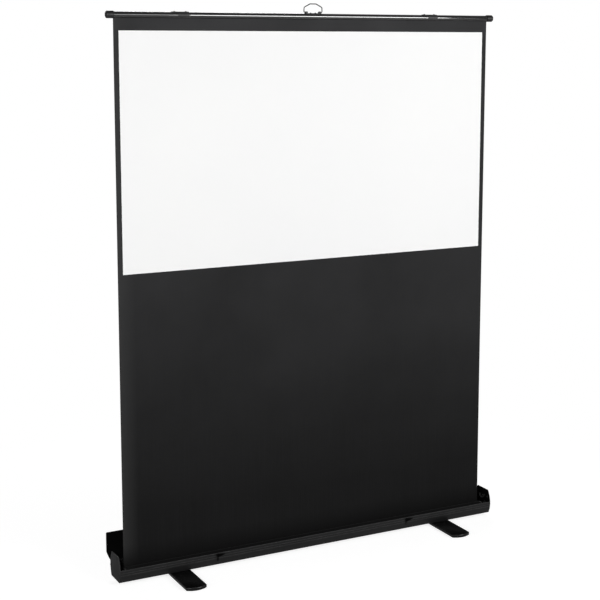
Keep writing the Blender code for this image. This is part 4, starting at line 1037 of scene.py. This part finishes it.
def foot_outline(x, narrower=0.0):
    """Long bar whose two ends curve outwards."""
    half_width = FOOT_WIDTH / 2 - narrower
    end = FOOT_HALF_LENGTH - narrower
    radius = (half_width**2 + FOOT_BULGE**2) / (2 * FOOT_BULGE)
    half_angle = math.degrees(math.asin(half_width / radius))
    back = plain(arc((0, end - radius), radius, 90 - half_angle, 90 + half_angle, 32))
    back[[0, -1], 2] = FOOT_CORNER
    front = back * (-1, -1, 1)
    return rounded(np.vstack([back, front]), 8) + (x, 0)


def foot(name, side):
    """Bar with a counterbored hole for its bolt, and the rubber sole under it."""
    x = side * FOOT_X
    body = plate(foot_outline(x), "Z", FOOT_Z, FOOT_TOP, FOOT_EDGES)
    bore_places = (FOOT_Z - SOLE, FOOT_Z + COUNTERBORE, FOOT_TOP + SOLE)
    bore = turned(stepped(bore_places, (BOLT_HEAD_RADIUS + 2 * GAP, BOLT_RADIUS + RUN)), "Z", (x, 0))
    piece(f"{name}_bar", name, FOOT_PLASTIC, [body], [bore])
    sole_name = name.replace("foot", "foot_sole")
    sole = plate(foot_outline(x, SOLE_INSET), "Z", 0, SOLE, SOLE_EDGES)
    piece(f"{sole_name}_pad", sole_name, SOLE_RUBBER, [sole])


def foot_bolt(name, side):
    """Bolt up through the foot, its head with a six-sided socket, and its nut inside the base."""
    centre = (side * FOOT_X, 0)
    top = FOOT_Z + COUNTERBORE - GAP
    socket_radius, socket_depth = BOLT_SOCKET
    socket = [hole(centre, socket_radius, 6)]
    disc = circle(centre, BOLT_HEAD_RADIUS)
    head = plate(disc, "Z", top - BOLT_HEAD, top, BOLT_HEAD_EDGES, (), socket, (socket_depth, 0))
    shank = rod("Z", top, BOLT_TOP, BOLT_RADIUS, centre)
    nut = plate(circle(centre, NUT_RADIUS, 6), "Z", NUT_Z, NUT_Z + SHEET, NUT_EDGES)
    piece(f"{name}_and_nut", name, PLATED_STEEL, [head, shank, nut])


# Lid


def opened(section):
    """Points (y, z) of the closed lid after a quarter turn back about the hinge."""
    y, z = np.asarray(section).T
    return np.column_stack([HINGE_Y + (z - HINGE_Z), HINGE_Z - (y - HINGE_Y)])


def lid_outline():
    """Section of the lid, closed: a claw round the hinge bead, rear wall, flat top, short front lip."""
    lip_end = HOUSING_TOP - LID_LIP
    lid_foot = BASE_Z + LID_FOOT
    inside_top = HOUSING_TOP - WALL
    outside_rear = wall(1, lid_foot + LID_FOOT_SLANT, HOUSING_TOP, 0, 14)
    outside_front = wall(-1, lip_end, HOUSING_TOP, 0, 5)
    inside_front = wall(-1, lip_end + WALL, inside_top, WALL, 5)
    inside_rear = wall(1, lid_foot - LID_FOOT_SLANT, inside_top, WALL, 14)
    outside_rear[-1, 2] = outside_front[-1, 2] = LID_CORNER
    inside_rear[-1, 2] = inside_front[-1, 2] = LID_CORNER - WALL / 2
    hook_y = outside_front[0, 0] + 2 * WALL
    hook = [(*outside_front[0, :2], WALL / 3), (hook_y, lip_end, WALL / 4), (hook_y, lip_end + WALL, 0)]
    walls = [outside_rear, outside_front[:0:-1], hook, inside_front, inside_rear[::-1]]
    hinge = (HINGE_Y, HINGE_Z)
    outer = CLAW_RADIUS + CLAW_WALL
    claw_out = arc(hinge, outer, CLAW_ANGLES[0], CLAW_WALL_ANGLES[0], 24)
    claw_end = arc(hinge, outer, CLAW_WALL_ANGLES[1], CLAW_ANGLES[1], 6)
    claw_in = arc(hinge, CLAW_RADIUS, CLAW_ANGLES[1], CLAW_ANGLES[0], 36)
    return rounded(np.vstack([plain(claw_out), *walls, plain(np.vstack([claw_end, claw_in]))]), 8)


def lid():
    """Extruded lid, standing open."""
    length = INSIDE_HALF - 2 * GAP
    shape = plate(opened(lid_outline()), "X", -length, length)
    # its paint, the darkened copy of the housing paint, is painted shade
    piece("housing_lid", "lid", SHADED_LID_PAINT, [shape], (), 28)


def wall_strip(levels, off, width, corner):
    """Path up the front wall between two levels, and a strip's half width at each of its points.

    The strip's corners are round: half width less corner · (1 - sqrt(1 - s²)), where s goes from 1 at
    an end to 0 one radius in. The path's points lie close there.
    """
    low, high = (BASE_Z + level for level in levels)
    ends = corner * (1 - np.cos(np.linspace(0, math.pi / 2, 6)))
    middle = np.linspace(low + corner, high - corner, 12)[1:-1]
    z = np.concatenate([low + ends, middle, (high - ends)[::-1]])
    path = np.column_stack([BASE_Y - half_depth(z) - off, z])
    run = np.concatenate([[0], np.cumsum(np.linalg.norm(np.diff(path, axis=0), axis=1))])
    left = np.clip(1 - np.minimum(run, run[-1] - run) / corner, 0, 1)
    return path, width / 2 - corner * (1 - np.sqrt(1 - left**2))


def lid_hasp(name, x):
    """Sheet plate over the lid's lip with the slot that the hook's nose drops into."""
    path, widths = wall_strip(HASP_REACH, GAP + SHEET / 2, HASP_WIDTH, HASP_CORNER)
    slot_z = LATCH_PIN_Z + HOOK_LENGTH + HOOK_NOSE_PLACE[0]
    y, z = opened([(BASE_Y - half_depth(slot_z), slot_z)])[0]
    across, along = np.array(HASP_SLOT) / 2
    slot = box_outline(x - across, x + across, y - along, y + along, HASP_SLOT_CORNER, HASP_SLOT_CORNER)
    tool = plate(slot, "Z", z - 3 * SHEET, z + 3 * SHEET)
    piece(f"{name}_plate", name, PLATED_STEEL, [strip(opened(path), widths, SHEET, x)], [tool])


# Roller


def roller():
    """Drum with a plug in each end: the left one bored for the spring's shaft, the right a gudgeon."""
    centre = (ROLLER_Y, ROLLER_Z)
    ends = (-ROLLER_HALF, ROLLER_HALF)
    section = [(end, ROLLER_RADIUS) for end in ends] + [(end, ROLLER_BORE) for end in ends[::-1]]
    drum = turned(section, "X", centre, 64, hollow=True)
    piece("roller_drum", "roller_tube", ROLLER_METAL, [drum])
    insert = ROLLER_BORE - RUN
    deep = ROLLER_HALF - PLUG_DEPTH
    flange_in = ROLLER_HALF + GAP
    flange_out = flange_in + PLUG_FLANGE
    body = [
        (deep, insert - PLUG_CHAMFER, 0),
        (deep + PLUG_CHAMFER, insert, 0),
        (flange_in, insert, 0),
        (flange_in, ROLLER_RADIUS, 0.0004),
        (flange_out, ROLLER_RADIUS, 0.0006),
    ]
    bore = SHAFT_RADIUS + RUN
    left = rounded([*body, (flange_out, bore, 0.0004), (deep, bore, 0)], 4) * (-1, 1)
    gudgeon_end = INSIDE_HALF - BRACKET_FLANGE - GAP
    gudgeon = [
        (flange_out, GUDGEON_RADIUS, 0),
        (gudgeon_end, GUDGEON_RADIUS, 0.0005),
        (gudgeon_end, CLOSED_SHARE * GUDGEON_RADIUS, 0),
    ]
    right = rounded([(deep, CLOSED_SHARE * insert, 0), *body, *gudgeon], 4)
    bored = turned(left, "X", centre, 64, hollow=True)
    piece("roller_left_plug", "roller_plug_left", CAP_PLASTIC, [bored])
    piece("roller_right_plug", "roller_plug_right", CAP_PLASTIC, [turned(right, "X", centre, 64)])


def roller_bracket(name, side, bore):
    """Flanged cup on the inside of an end plate, which holds the roller's end."""
    face = INSIDE_HALF - GAP
    flange = face - BRACKET_FLANGE
    floor = face - BRACKET_FLANGE / 2
    mouth = face - BOSS_DEPTH
    corners = [
        (face, CLOSED_SHARE * bore, 0),
        (face, BRACKET_RADIUS, 0.0002),
        (flange, BRACKET_RADIUS, 0.0005),
        (flange, BOSS_RADIUS, 0.0005),
        (mouth, BOSS_RADIUS, 0.0006),
        (mouth, bore, 0.0004),
        (floor, bore, 0),
        (floor, CLOSED_SHARE * bore, 0),
    ]
    profile = rounded(corners, 5) * (side, 1)
    piece(f"{name}_cup", name, CAP_PLASTIC, [turned(profile, "X", (ROLLER_Y, ROLLER_Z), 64)])


def fabric_roll():
    """Spiral of the fabric left on the roller: its radius grows by one pitch for each turn.

    The turns' side edges lie up to half a millimetre further in, by |sin|, as on a wound sheet.
    """
    end = -math.asin(GAP / ROLL_OUTER)
    angles = np.linspace(end - 2 * math.pi * ROLL_TURNS, end, round(96 * ROLL_TURNS) + 1)
    inner = (ROLL_OUTER - ROLL_CLOTH - ROLL_PITCH * (end - angles) / (2 * math.pi))[:, None]
    ray = np.column_stack([np.cos(angles), np.sin(angles)])
    section = np.vstack([ray * inner, ray[::-1] * (inner[::-1] + ROLL_CLOTH)]) + (ROLLER_Y, ROLLER_Z)
    drift = ROLL_DRIFT * np.abs(np.sin(1.3 * np.concatenate([angles, angles[::-1]])))
    ends = np.stack([drift - FABRIC_HALF, FABRIC_HALF - drift])
    rings = place("X", ends, np.broadcast_to(section, (2, *section.shape)))
    roll = piece("wound_cloth", "fabric_roll", CLOTH_BLACK, [skin(rings)])


# Fabric


def stand_off(x, z):
    """How far back the cloth stands off its plane.

    Long shallow waves, sin · cos over its width and height, and side edges that curl back with the
    square of the distance. Both die out towards the roller and the tube, which hold it straight.
    """
    low, high = CLOTH_HELD[0], TUBE_Z - CLOTH_HELD[1]
    free = np.sin(math.pi * np.clip((z - low) / (high - low), 0, 1)) ** 0.6
    swing, sway = (across * x + up * z for across, up in WAVE_RATES)
    past = np.clip((np.abs(x) - FABRIC_HALF + CURL_WIDTH) / CURL_WIDTH, 0, 1)
    return free * (WAVE * np.sin(swing) * np.cos(sway) + CURL * past**2)


def sheet_rings(section, half, stations=121):
    """Section (y, z) of a sheet carried across its width, standing off as the cloth does."""
    x = half * np.sin(np.linspace(-math.pi / 2, math.pi / 2, stations))[:, None]
    plane = np.broadcast_to(section, (stations, *section.shape)).copy()
    plane[..., 0] += stand_off(x, section[None, :, 1])
    return place("X", x, plane)


def screen_cloth():
    """Black sheet from the roller up into the tube, where its welt hangs in the slot."""
    back = CLOTH - GAP / 3
    welt = (back - CLOTH / 2, TUBE_Z - TUBE_BORE + WELT_RADIUS + GAP)
    half_angle = math.degrees(math.asin(CLOTH / 2 / WELT_RADIUS))
    bead = arc(welt, WELT_RADIUS, half_angle - 90, 270 - half_angle, 24)
    z = np.linspace(ROLLER_Z, bead[0, 1], 90)[:-1]
    rise = np.column_stack([np.full(len(z), back), z])
    section = np.vstack([rise, bead, rise[::-1] - (CLOTH, 0)])
    shape = skin(sheet_rings(section, FABRIC_HALF))
    cloth = piece("screen_cloth", "fabric_backing", CLOTH_BLACK, [shape])
    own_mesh(cloth)


def picture_area():
    """White viewing surface: a thin coat that lies on the front of the cloth."""
    z = np.linspace(WHITE_BOTTOM, WHITE_TOP, 50)
    rise = np.column_stack([np.full(len(z), -2 * GAP / 3), z])
    section = np.vstack([rise, rise[::-1] - (WHITE_COAT, 0)])
    shape = skin(sheet_rings(section, WHITE_HALF))
    white = piece("viewing_surface", "white_surface", CLOTH_WHITE, [shape])
    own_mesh(white)


# Top tube


def slat_tube():
    """Tube with the slot along its underside that the fabric's welt hangs in."""
    half_slot = TUBE_SLOT / 2
    outer_edge = math.degrees(math.asin(half_slot / TUBE_RADIUS))
    inner_edge = math.degrees(math.asin(half_slot / TUBE_BORE))
    outside = arc((0, TUBE_Z), TUBE_RADIUS, outer_edge - 90, 270 - outer_edge, 96)
    inside = arc((0, TUBE_Z), TUBE_BORE, 270 - inner_edge, inner_edge - 90, 96)
    shape = plate(np.vstack([outside, inside]), "X", -TUBE_HALF, TUBE_HALF)
    piece("slat_tube", "top_tube", TUBE_ENAMEL, [shape])


def tube_cap(name, side):
    """Cup over the tube's end: a rolled mouth, two fine grip rings and an elliptical face.

    The face's radius is its flat part and the rest · cos a, and it stands out by its dome · sin a.
    """
    outer = TUBE_HALF + CAP_PAST
    mouth = TUBE_HALF - CAP_OVER
    seat = TUBE_HALF + GAP
    bore = TUBE_RADIUS + RUN
    turn = np.radians(np.linspace(0, 90, 12))
    face_place = outer - CAP_DOME * CAP_RADIUS * (1 - np.sin(turn))
    face = np.column_stack([face_place, CAP_RADIUS * (CAP_FLAT + (1 - CAP_FLAT) * np.cos(turn))])
    rings = [np.array(CAP_GROOVE) + (mouth + place_in, CAP_RADIUS) for place_in in CAP_RINGS]
    rolled = arc((mouth + CAP_ROLL, CAP_RADIUS - CAP_ROLL), CAP_ROLL, 180, 90, 5)
    gate_rim, gate_floor = (share * CAP_RADIUS for share in CAP_GATE)
    sunk = outer - CAP_GATE_DEPTH
    gate = [(outer, gate_rim), (sunk, gate_floor), (sunk, 0.0003)]
    start = [(seat, 0.0005), (seat, bore), (mouth, bore)]
    profile = np.vstack([start, rolled, *rings, face, gate]) * (side, 1)
    piece(f"{name}_cup", name, CAP_PLASTIC, [turned(profile, "X", (0, TUBE_Z), 72)])


def domed(x, y, seat, radius, height):
    """Domed rivet head on a level seat."""
    profile = np.vstack([[(seat, radius)], dome(seat, radius, height, 0.2)])
    return turned(profile, "Z", (x, y), 32)


def rivet(name, x):
    """Rivet's head on top of a clip or of the handle's strap."""
    head = domed(x, 0, TUBE_Z + SADDLE_OUTER, RIVET_HEAD_RADIUS, RIVET_HEAD + GAP)
    piece(f"{name}_head", name, CLIP_PAINT, [head])


def saddle(stations, backs, fronts):
    """Sheet bent over the tube, from one angle to another at each station along x.

    Its points are radius · (cos a, sin a), and its two long edges are half ellipses.
    """
    share = np.linspace(0, 1, 33)
    angles = np.radians(backs[:, None] + (fronts - backs)[:, None] * share)
    ray = np.stack([np.cos(angles), np.sin(angles)], axis=-1)
    turn = np.linspace(0, math.pi, 5)[1:-1, None]
    middle = (SADDLE_RADIUS + SADDLE_OUTER) / 2
    half = CLIP_SHEET / 2
    ends = []
    for end, way in ((-1, 1), (0, -1)):
        out = ray[:, end]
        on = left_of(out)[:, None] * way
        ends.append((middle + half * np.cos(turn)) * out[:, None] + 0.5 * half * np.sin(turn) * on)
    rings = [SADDLE_OUTER * ray, ends[0], SADDLE_RADIUS * ray[:, ::-1], ends[1][:, ::-1]]
    return skin(place("X", stations[:, None], np.concatenate(rings, axis=1) + (0, TUBE_Z)), 0.3)


def round_end(start, length, steps=9):
    """Stations over a rounded end and the share of the full width at each: sqrt(1 - (1 - s)²)."""
    turn = np.linspace(0.12, math.pi / 2, steps)
    return start + length * (1 - np.cos(turn)), np.sin(turn)


def tube_clip(name, x, stack):
    """Saddle over the tube, with a tongue to its left and a leg back and down to the top pivot.

    The tongue flares into the saddle by s² · (3 - 2s).
    """
    start, end = (x + reach for reach in CLIP_SADDLE)
    tip_x, tip_share = round_end(start - CLIP_TONGUE, CLIP_TIP)
    share = np.linspace(0, 1, 13)
    eased = share**2 * (3 - 2 * share)
    stations = np.concatenate([tip_x, start - CLIP_FLARE * (1 - share), [end]])
    edges = []
    for tongue, full in zip(TONGUE_ANGLES, SADDLE_ANGLES):
        flare = tongue + (full - tongue) * eased
        edges.append(np.concatenate([90 + (tongue - 90) * tip_share, flare, [full]]))
    body = saddle(stations, edges[1], edges[0])
    leg_y = stack + ARM_THICKNESS + 2 * GAP + CLIP_SHEET / 2
    leg_z = TUBE_Z - CLIP_LEG_DROP
    half = CLIP_LEG_WIDTH / 2
    start_y = math.sqrt(SADDLE_RADIUS**2 - CLIP_LEG_DROP**2) + CLIP_SHEET / 3
    corner = arc((leg_y - CLIP_SHEET, leg_z - CLIP_SHEET), CLIP_SHEET, 90, 0, 8)
    turn = np.radians(np.linspace(0, 86, 12))
    tip = np.column_stack([np.full(len(turn), leg_y), TOP_PIVOT_Z - half * np.sin(turn)])
    path = np.vstack([[(start_y, leg_z)], corner, tip])
    widths = np.concatenate([np.full(1 + len(corner), half), half * np.cos(turn)])
    leg = strip(path, widths, CLIP_SHEET, x)
    reach = 3 * CLIP_SHEET
    drill = rod("Y", leg_y - reach, leg_y + reach, PIN_RADIUS + RUN, (x, TOP_PIVOT_Z))
    top = TUBE_Z + SADDLE_OUTER - GAP
    dimples = [domed(x + offset, 0, top, DIMPLE_RADIUS, DIMPLE_RISE + GAP) for offset in CLIP_DIMPLES]
    piece(f"{name}_strap", name, CLIP_PAINT, [body, *dimples, leg], [drill])


def tube_rest(name, side):
    """Cradle inside an end plate that takes the tube's cap, with its riveted tab."""
    inner = CAP_RADIUS + REST_CLEARANCE
    outer = inner + REST_WALL
    face = side * (INSIDE_HALF - GAP)
    seat = face - side * REST_PLATE
    middle = face - side * REST_PLATE / 2
    ring = np.vstack([arc((0, REST_Z), outer, 180, 360, 48), arc((0, REST_Z), inner, 360, 180, 48)])
    cradle = plate(ring, "X", seat - side * REST_DEPTH, middle, REST_EDGES)
    tab = (REST_TAB[0], REST_Z + REST_TAB[1])
    rim_radius = outer + GAP
    top = REST_Z + REST_RIM
    outline = [
        arc((0, REST_Z), rim_radius, 205, 360, 48),
        [(rim_radius, top), (-0.8 * outer, top)],
        arc(tab, REST_TAB_RADIUS, 80, 260, 20),
    ]
    back = plate(np.vstack(outline), "X", seat, face, REST_PLATE_EDGES)
    radius, height = REST_RIVET
    head = turned(np.vstack([[(middle, radius)], dome(seat, radius, -side * height)]), "X", tab, 32)
    # Painted shade: the back is in the lid's darkened paint and the cradle in the paler handle paint, a
    # shaded and a lit copy of one part
    piece(f"{name}_back", name, SHADED_LID_PAINT, [back])
    piece(f"{name}_cradle", name, HANDLE_PAINT, [cradle, head])


# Handle


def handle():
    """Strip riveted over the tube with two ears, and the bent wire that turns in them."""
    tip_x, tip_share = round_end(-HANDLE_HALF_LENGTH, HANDLE_TIP)
    stations = np.concatenate([tip_x, -tip_x[::-1]])
    share = np.concatenate([tip_share, tip_share[::-1]])
    front, back = (90 + (angle - 90) * share for angle in HANDLE_ANGLES)
    root = TUBE_Z + SADDLE_RADIUS + CLIP_SHEET / 3
    ear = lug_outline((0, HANDLE_AXIS_Z), HANDLE_EAR_RADIUS, HANDLE_EAR_RADIUS, root)
    eye = [hole((0, HANDLE_AXIS_Z), HANDLE_WIRE + 2 * RUN)]
    ears = []
    for x in (-HANDLE_EAR_X, HANDLE_EAR_X):
        ears.append(plate(ear, "X", x - HANDLE_EAR / 2, x + HANDLE_EAR / 2, HANDLE_EAR_EDGES, eye))
    piece("handle_strap", "handle_plate", CLIP_PAINT, [saddle(stations, back, front), *ears])
    end = (HANDLE_EAR_X - HANDLE_EAR / 2 - HANDLE_WIRE / 2, 0, 0)
    half = np.array([end, *HANDLE_BENDS])
    bends = rounded(np.vstack([half, half[::-1] * (-1, 1, 1)]), 14)
    path = np.column_stack([bends[:, 0], np.zeros(len(bends)), HANDLE_AXIS_Z + bends[:, 1]])
    grip = wire(path, np.array([0.0, 1.0, 0.0]), HANDLE_WIRE - RUN)
    piece("handle_grip", "handle_wire", HANDLE_PAINT, [grip])


# Arms


def arm(name, x, low, high, front):
    """Flat bar with round ends, a hole at each and a long pocket pressed into both faces."""
    holes = [hole((x, z), PIN_RADIUS + RUN) for z in (low, high)]
    pocket_ends = (low + ARM_POCKET_MARGIN, high - ARM_POCKET_MARGIN)
    pocket = [bar_outline(*pocket_ends, ARM_POCKET_WIDTH / 2, x, 12)[::-1]]
    outline = bar_outline(low, high, ARM_WIDTH / 2, x)
    edges = (ARM_EDGE, ARM_EDGE)
    depths = (ARM_POCKET_DEPTH, ARM_POCKET_DEPTH)
    shape = plate(outline, "Y", front, front + ARM_THICKNESS, edges, holes, pocket, depths)
    piece(f"{name}_bar", name, ARM_PAINT, [shape])


def pin(name, x, z, places, radii):
    """Turned pin along Y that keeps each radius from one place to the next.

    Its collar and the rims of its two heads are rounded, and each head is closed by a shallow dimple.
    """
    corners = plain(stepped(places, radii))
    corners[corners[:, 1] == COLLAR_RADIUS, 2] = COLLAR_EDGE
    corners[[0, -1], 2] = PIN_HEAD / 3
    ends = []
    for place_y, radius, inwards in ((places[0], radii[0], 1), (places[-1], radii[-1], -1)):
        floor = place_y + inwards * PIN_DIMPLE
        ends.append([(floor, 0.0002, 0), (floor, 0.3 * radius, 0), (place_y, 0.42 * radius, 0)])
    profile = rounded(np.vstack([ends[0], corners, ends[1][::-1]]), 5)
    piece(f"{name}_turned", name, PLATED_STEEL, [turned(profile, "Y", (x, z))])


def arm_pins(side, x, stack):
    """Pins of one side: at the elbow with a collar between the arms, in the base and in the clip."""
    lower_front = stack + ARM_THICKNESS + ARM_SPACE
    behind = lower_front + ARM_THICKNESS + GAP
    before = stack - GAP
    collar = (stack + ARM_THICKNESS + GAP, lower_front - GAP)
    places = (before - PIN_HEAD, before, *collar, behind, behind + PIN_HEAD)
    radii = (PIN_HEAD_RADIUS, PIN_RADIUS, COLLAR_RADIUS, PIN_RADIUS, PIN_HEAD_RADIUS)
    pin(f"elbow_pin_{side}", x, ELBOW_Z, places, radii)
    before_lug = lower_front - LUG_SPACE - SHEET - GAP / 3 - GAP
    places = (before_lug - PIN_HEAD, before_lug, behind, behind + PIN_HEAD)
    radii = (SMALL_HEAD_RADIUS, PIN_RADIUS, SMALL_HEAD_RADIUS)
    pin(f"arm_base_pin_{side}", x, BASE_PIVOT_Z, places, radii)
    places = (before - PIN_HEAD, before, collar[1] - PIN_TAIL, collar[1])
    radii = (PIN_HEAD_RADIUS, PIN_RADIUS, SMALL_HEAD_RADIUS)
    pin(f"top_pin_{side}", x, TOP_PIVOT_Z, places, radii)


def arm_bracket(name, x, stack):
    """Bracket on the base floor whose lug carries the lower arm."""
    lug_back = stack + ARM_THICKNESS + ARM_SPACE - LUG_SPACE
    lug_front = lug_back - SHEET - GAP / 3
    floor = FLOOR_Z + GAP
    seat = floor + SHEET
    lug = lug_outline((x, BASE_PIVOT_Z), ARM_WIDTH / 2, ARM_WIDTH / 2 + LUG_FLARE, floor + SHEET / 3)
    eye = [hole((x, BASE_PIVOT_Z), PIN_RADIUS + RUN)]
    upright = plate(lug, "Y", lug_front, lug_back, (0.0003, 0.0003), eye)
    left, right = x - BRACKET_HALF_LENGTH, x + BRACKET_HALF_LENGTH
    toe, heel = stack - BRACKET_TOE, lug_back + GAP
    outline = box_outline(left, right, toe, heel, *BRACKET_CORNERS)
    sheet = plate(outline, "Z", floor, seat, (0.0001, 0.0003))
    screw_y = (toe + lug_front) / 2
    screws = []
    for offset in (-BRACKET_SCREW_X, BRACKET_SCREW_X):
        screws.append(domed(x + offset, screw_y, seat, RIVET_HEAD_RADIUS, BRACKET_SCREW_HEAD))
    piece(f"{name}_sheet", name, PLATED_STEEL, [sheet, upright, *screws])


def support_arms():
    """Both arms behind the fabric, each with its bracket, pins and clip."""
    for side, way in SIDES.items():
        x = way * ARM_X
        stack = ARM_STACK_Y[side]
        arm_bracket(f"arm_bracket_{side}", x, stack)
        arm(f"lower_arm_{side}", x, BASE_PIVOT_Z, ELBOW_Z, stack + ARM_THICKNESS + ARM_SPACE)
        arm(f"upper_arm_{side}", x, ELBOW_Z, TOP_PIVOT_Z, stack)
        arm_pins(side, x, stack)
        tube_clip(f"tube_clip_{side}", x, stack)


# Latches


def latch_keeper(name, x):
    """Narrow plate up the front wall with a headed pin for the hook."""
    path, widths = wall_strip(KEEPER_LEVELS, GAP + KEEPER_THICKNESS / 2, KEEPER_WIDTH, KEEPER_CORNER)
    body = strip(path, widths, KEEPER_THICKNESS, x, 0.0005)
    front = HOOK_BACK - HOOK_THICKNESS - GAP
    end = front - LATCH_HEAD
    corners = [
        (HOOK_BACK + GAP + KEEPER_THICKNESS, LATCH_PIN_RADIUS, 0),
        (front, LATCH_PIN_RADIUS, 0),
        (front, LATCH_HEAD_RADIUS, 0.0002),
        (end, LATCH_HEAD_RADIUS, 0.0008),
        (end, 0.0003, 0),
    ]
    stud = turned(rounded(corners, 6), "Y", (x, LATCH_PIN_Z))
    piece(f"{name}_plate", name, LATCH_PLASTIC, [body, stud])


def latch_hook(name, x):
    """Pointed arm that turns up to catch the lid's hasp with the nose on its back."""
    tip = x + HOOK_LENGTH
    point = [(tip + across, LATCH_PIN_Z + up, radius) for across, up, radius in HOOK_POINT]
    boss = plain(arc((x, LATCH_PIN_Z), HOOK_RADIUS, *HOOK_BOSS_ANGLES, 32))
    blade = rounded(np.vstack([boss, point]), 6)
    eye = [hole((x, LATCH_PIN_Z), LATCH_PIN_RADIUS + RUN)]
    body = plate(blade, "Y", HOOK_BACK - HOOK_THICKNESS, HOOK_BACK, HOOK_EDGES, eye)
    centre = (tip + HOOK_NOSE_PLACE[0], LATCH_PIN_Z + HOOK_NOSE_PLACE[1])
    end = HOOK_BACK + HOOK_NOSE
    corners = [
        (HOOK_BACK - HOOK_THICKNESS / 2, HOOK_NOSE_RADIUS, 0),
        (end, 0.8 * HOOK_NOSE_RADIUS, 0.0005),
        (end, 0.0002, 0),
    ]
    nose = turned(rounded(corners, 5), "Y", centre, 32)
    piece(f"{name}_blade", name, LATCH_PLASTIC, [body, nose])


# Studio


def camera():
    """Camera at the photograph's place and angle, turned about Z and tilted down."""
    data = bpy.data.cameras.new("camera")
    data.lens = LENS
    data.sensor_width = 36
    data.shift_y = SHIFT_UP
    made = linked("camera", data)
    made.location = CAMERA_PLACE
    made.rotation_euler = (math.radians(90 - TILT), 0, -math.radians(TURN))
    bpy.context.scene.camera = made


def softbox(name, where, target, size, watts):
    """Rectangular lamp that faces its target."""
    data = bpy.data.lights.new(name, "AREA")
    data.shape = "RECTANGLE"
    data.size, data.size_y = size
    data.energy = watts
    made = linked(name, data)
    made.location = where
    made.rotation_mode = "QUATERNION"
    made.rotation_quaternion = (Vector(where) - Vector(target)).to_track_quat("Z", "Y")
    made.visible_camera = False


def background_share(tree):
    """Share of plain white that a ray sees: all from the camera or through glass, less off gloss."""
    ray = add_node(tree, "LightPath").outputs
    gloss = add_node(tree, "Math", ray["Is Glossy Ray"], SEEN_IN_GLOSS, operation="MULTIPLY")
    seen = add_node(tree, "Math", ray["Is Camera Ray"], ray["Is Transmission Ray"], operation="MAXIMUM")
    return add_node(tree, "Math", seen.outputs[0], gloss.outputs[0], operation="MAXIMUM").outputs[0]


def surroundings():
    """World that lights the object at one level and shows as white."""
    world = bpy.data.worlds.new("surroundings")
    world.use_nodes = True
    tree = world.node_tree
    level = add_node(tree, "MapRange", background_share(tree), 0.0, 1.0, AMBIENT, 1.0)
    background = tree.nodes["Background"]
    feed(tree, background.inputs["Color"], (1, 1, 1, 1))
    feed(tree, background.inputs["Strength"], level.outputs[0])
    bpy.context.scene.world = world


def studio_floor(reach=14.0, sides=96):
    """Round pale floor. It keeps the shadows near the object and fades to plain white further out."""
    mesh = bpy.data.meshes.new("floor")
    mesh.from_pydata(place("Z", 0.0, circle((0, 0), reach, sides)).tolist(), [], [list(range(sides))])
    colour = grey(FLOOR_GREY)
    finish = Finish("pale_floor", None, Base_Color=colour, Roughness=0.9, Specular_IOR_Level=0.1)
    shaded = finish.shader.outputs[0]
    lift = finish.node("Emission", None, FLOOR_LIFT).outputs[0]
    lit = finish.node("AddShader", shaded, lift).outputs[0]
    white = finish.node("Emission", None, 1.0).outputs[0]
    distance = finish.node("VectorMath", finish.position, operation="LENGTH").outputs["Value"]
    fade = finish.node("MapRange", distance, *FLOOR_FADE).outputs[0]
    shown = finish.node("MixShader", fade, lit, white).outputs[0]
    whole = finish.node("MixShader", background_share(finish.tree), shaded, shown).outputs[0]
    feed(finish.tree, finish.tree.nodes["Material Output"].inputs["Surface"], whole)
    mesh.materials.append(finish.material)
    linked("floor", mesh)


def studio():
    """Plain colours, pale surroundings and floor, and the lamps."""
    bpy.context.scene.view_settings.view_transform = "Standard"
    surroundings()
    studio_floor()
    for name, settings in LAMPS.items():
        softbox(name, *settings)


def build():
    """Every piece, and the material of the two CAD nodes that are carried over."""
    base_housing()
    lid()
    for side, way in SIDES.items():
        end_plate(f"end_plate_{side}", way)
        plate_screw(f"plate_screw_{side}_front", way, -1)
        plate_screw(f"plate_screw_{side}_rear", way, 1)
        foot(f"foot_{side}", way)
        foot_bolt(f"foot_bolt_{side}", way)
        tube_cap(f"tube_cap_{side}", way)
        tube_rest(f"tube_rest_{side}", way)
        latch_x = way * LATCH_X - LATCH_SHIFT
        latch_keeper(f"latch_keeper_{side}", latch_x)
        latch_hook(f"latch_hook_{side}", latch_x)
        lid_hasp(f"lid_hasp_{side}", latch_x)
    roller_bracket("roller_bracket_left", -1, SHAFT_RADIUS + RUN)
    roller_bracket("roller_bracket_right", 1, GUDGEON_RADIUS + RUN)
    roller()
    slat_tube()
    fabric_roll()
    screen_cloth()
    picture_area()
    for side, way in SIDES.items():
        rivet(f"handle_rivet_{side}", way * HANDLE_RIVET_X)
    for side, way in SIDES.items():
        for end, offset in zip(("outer", "inner"), CLIP_RIVETS):
            rivet(f"clip_{side}_rivet_{end}", way * ARM_X + offset)
    handle()
    support_arms()
    for name in ("roller_spring", "spring_shaft"):
        frame["nodes"][name].material_slots[0].material = PLATED_STEEL.material


camera()
studio()
build()
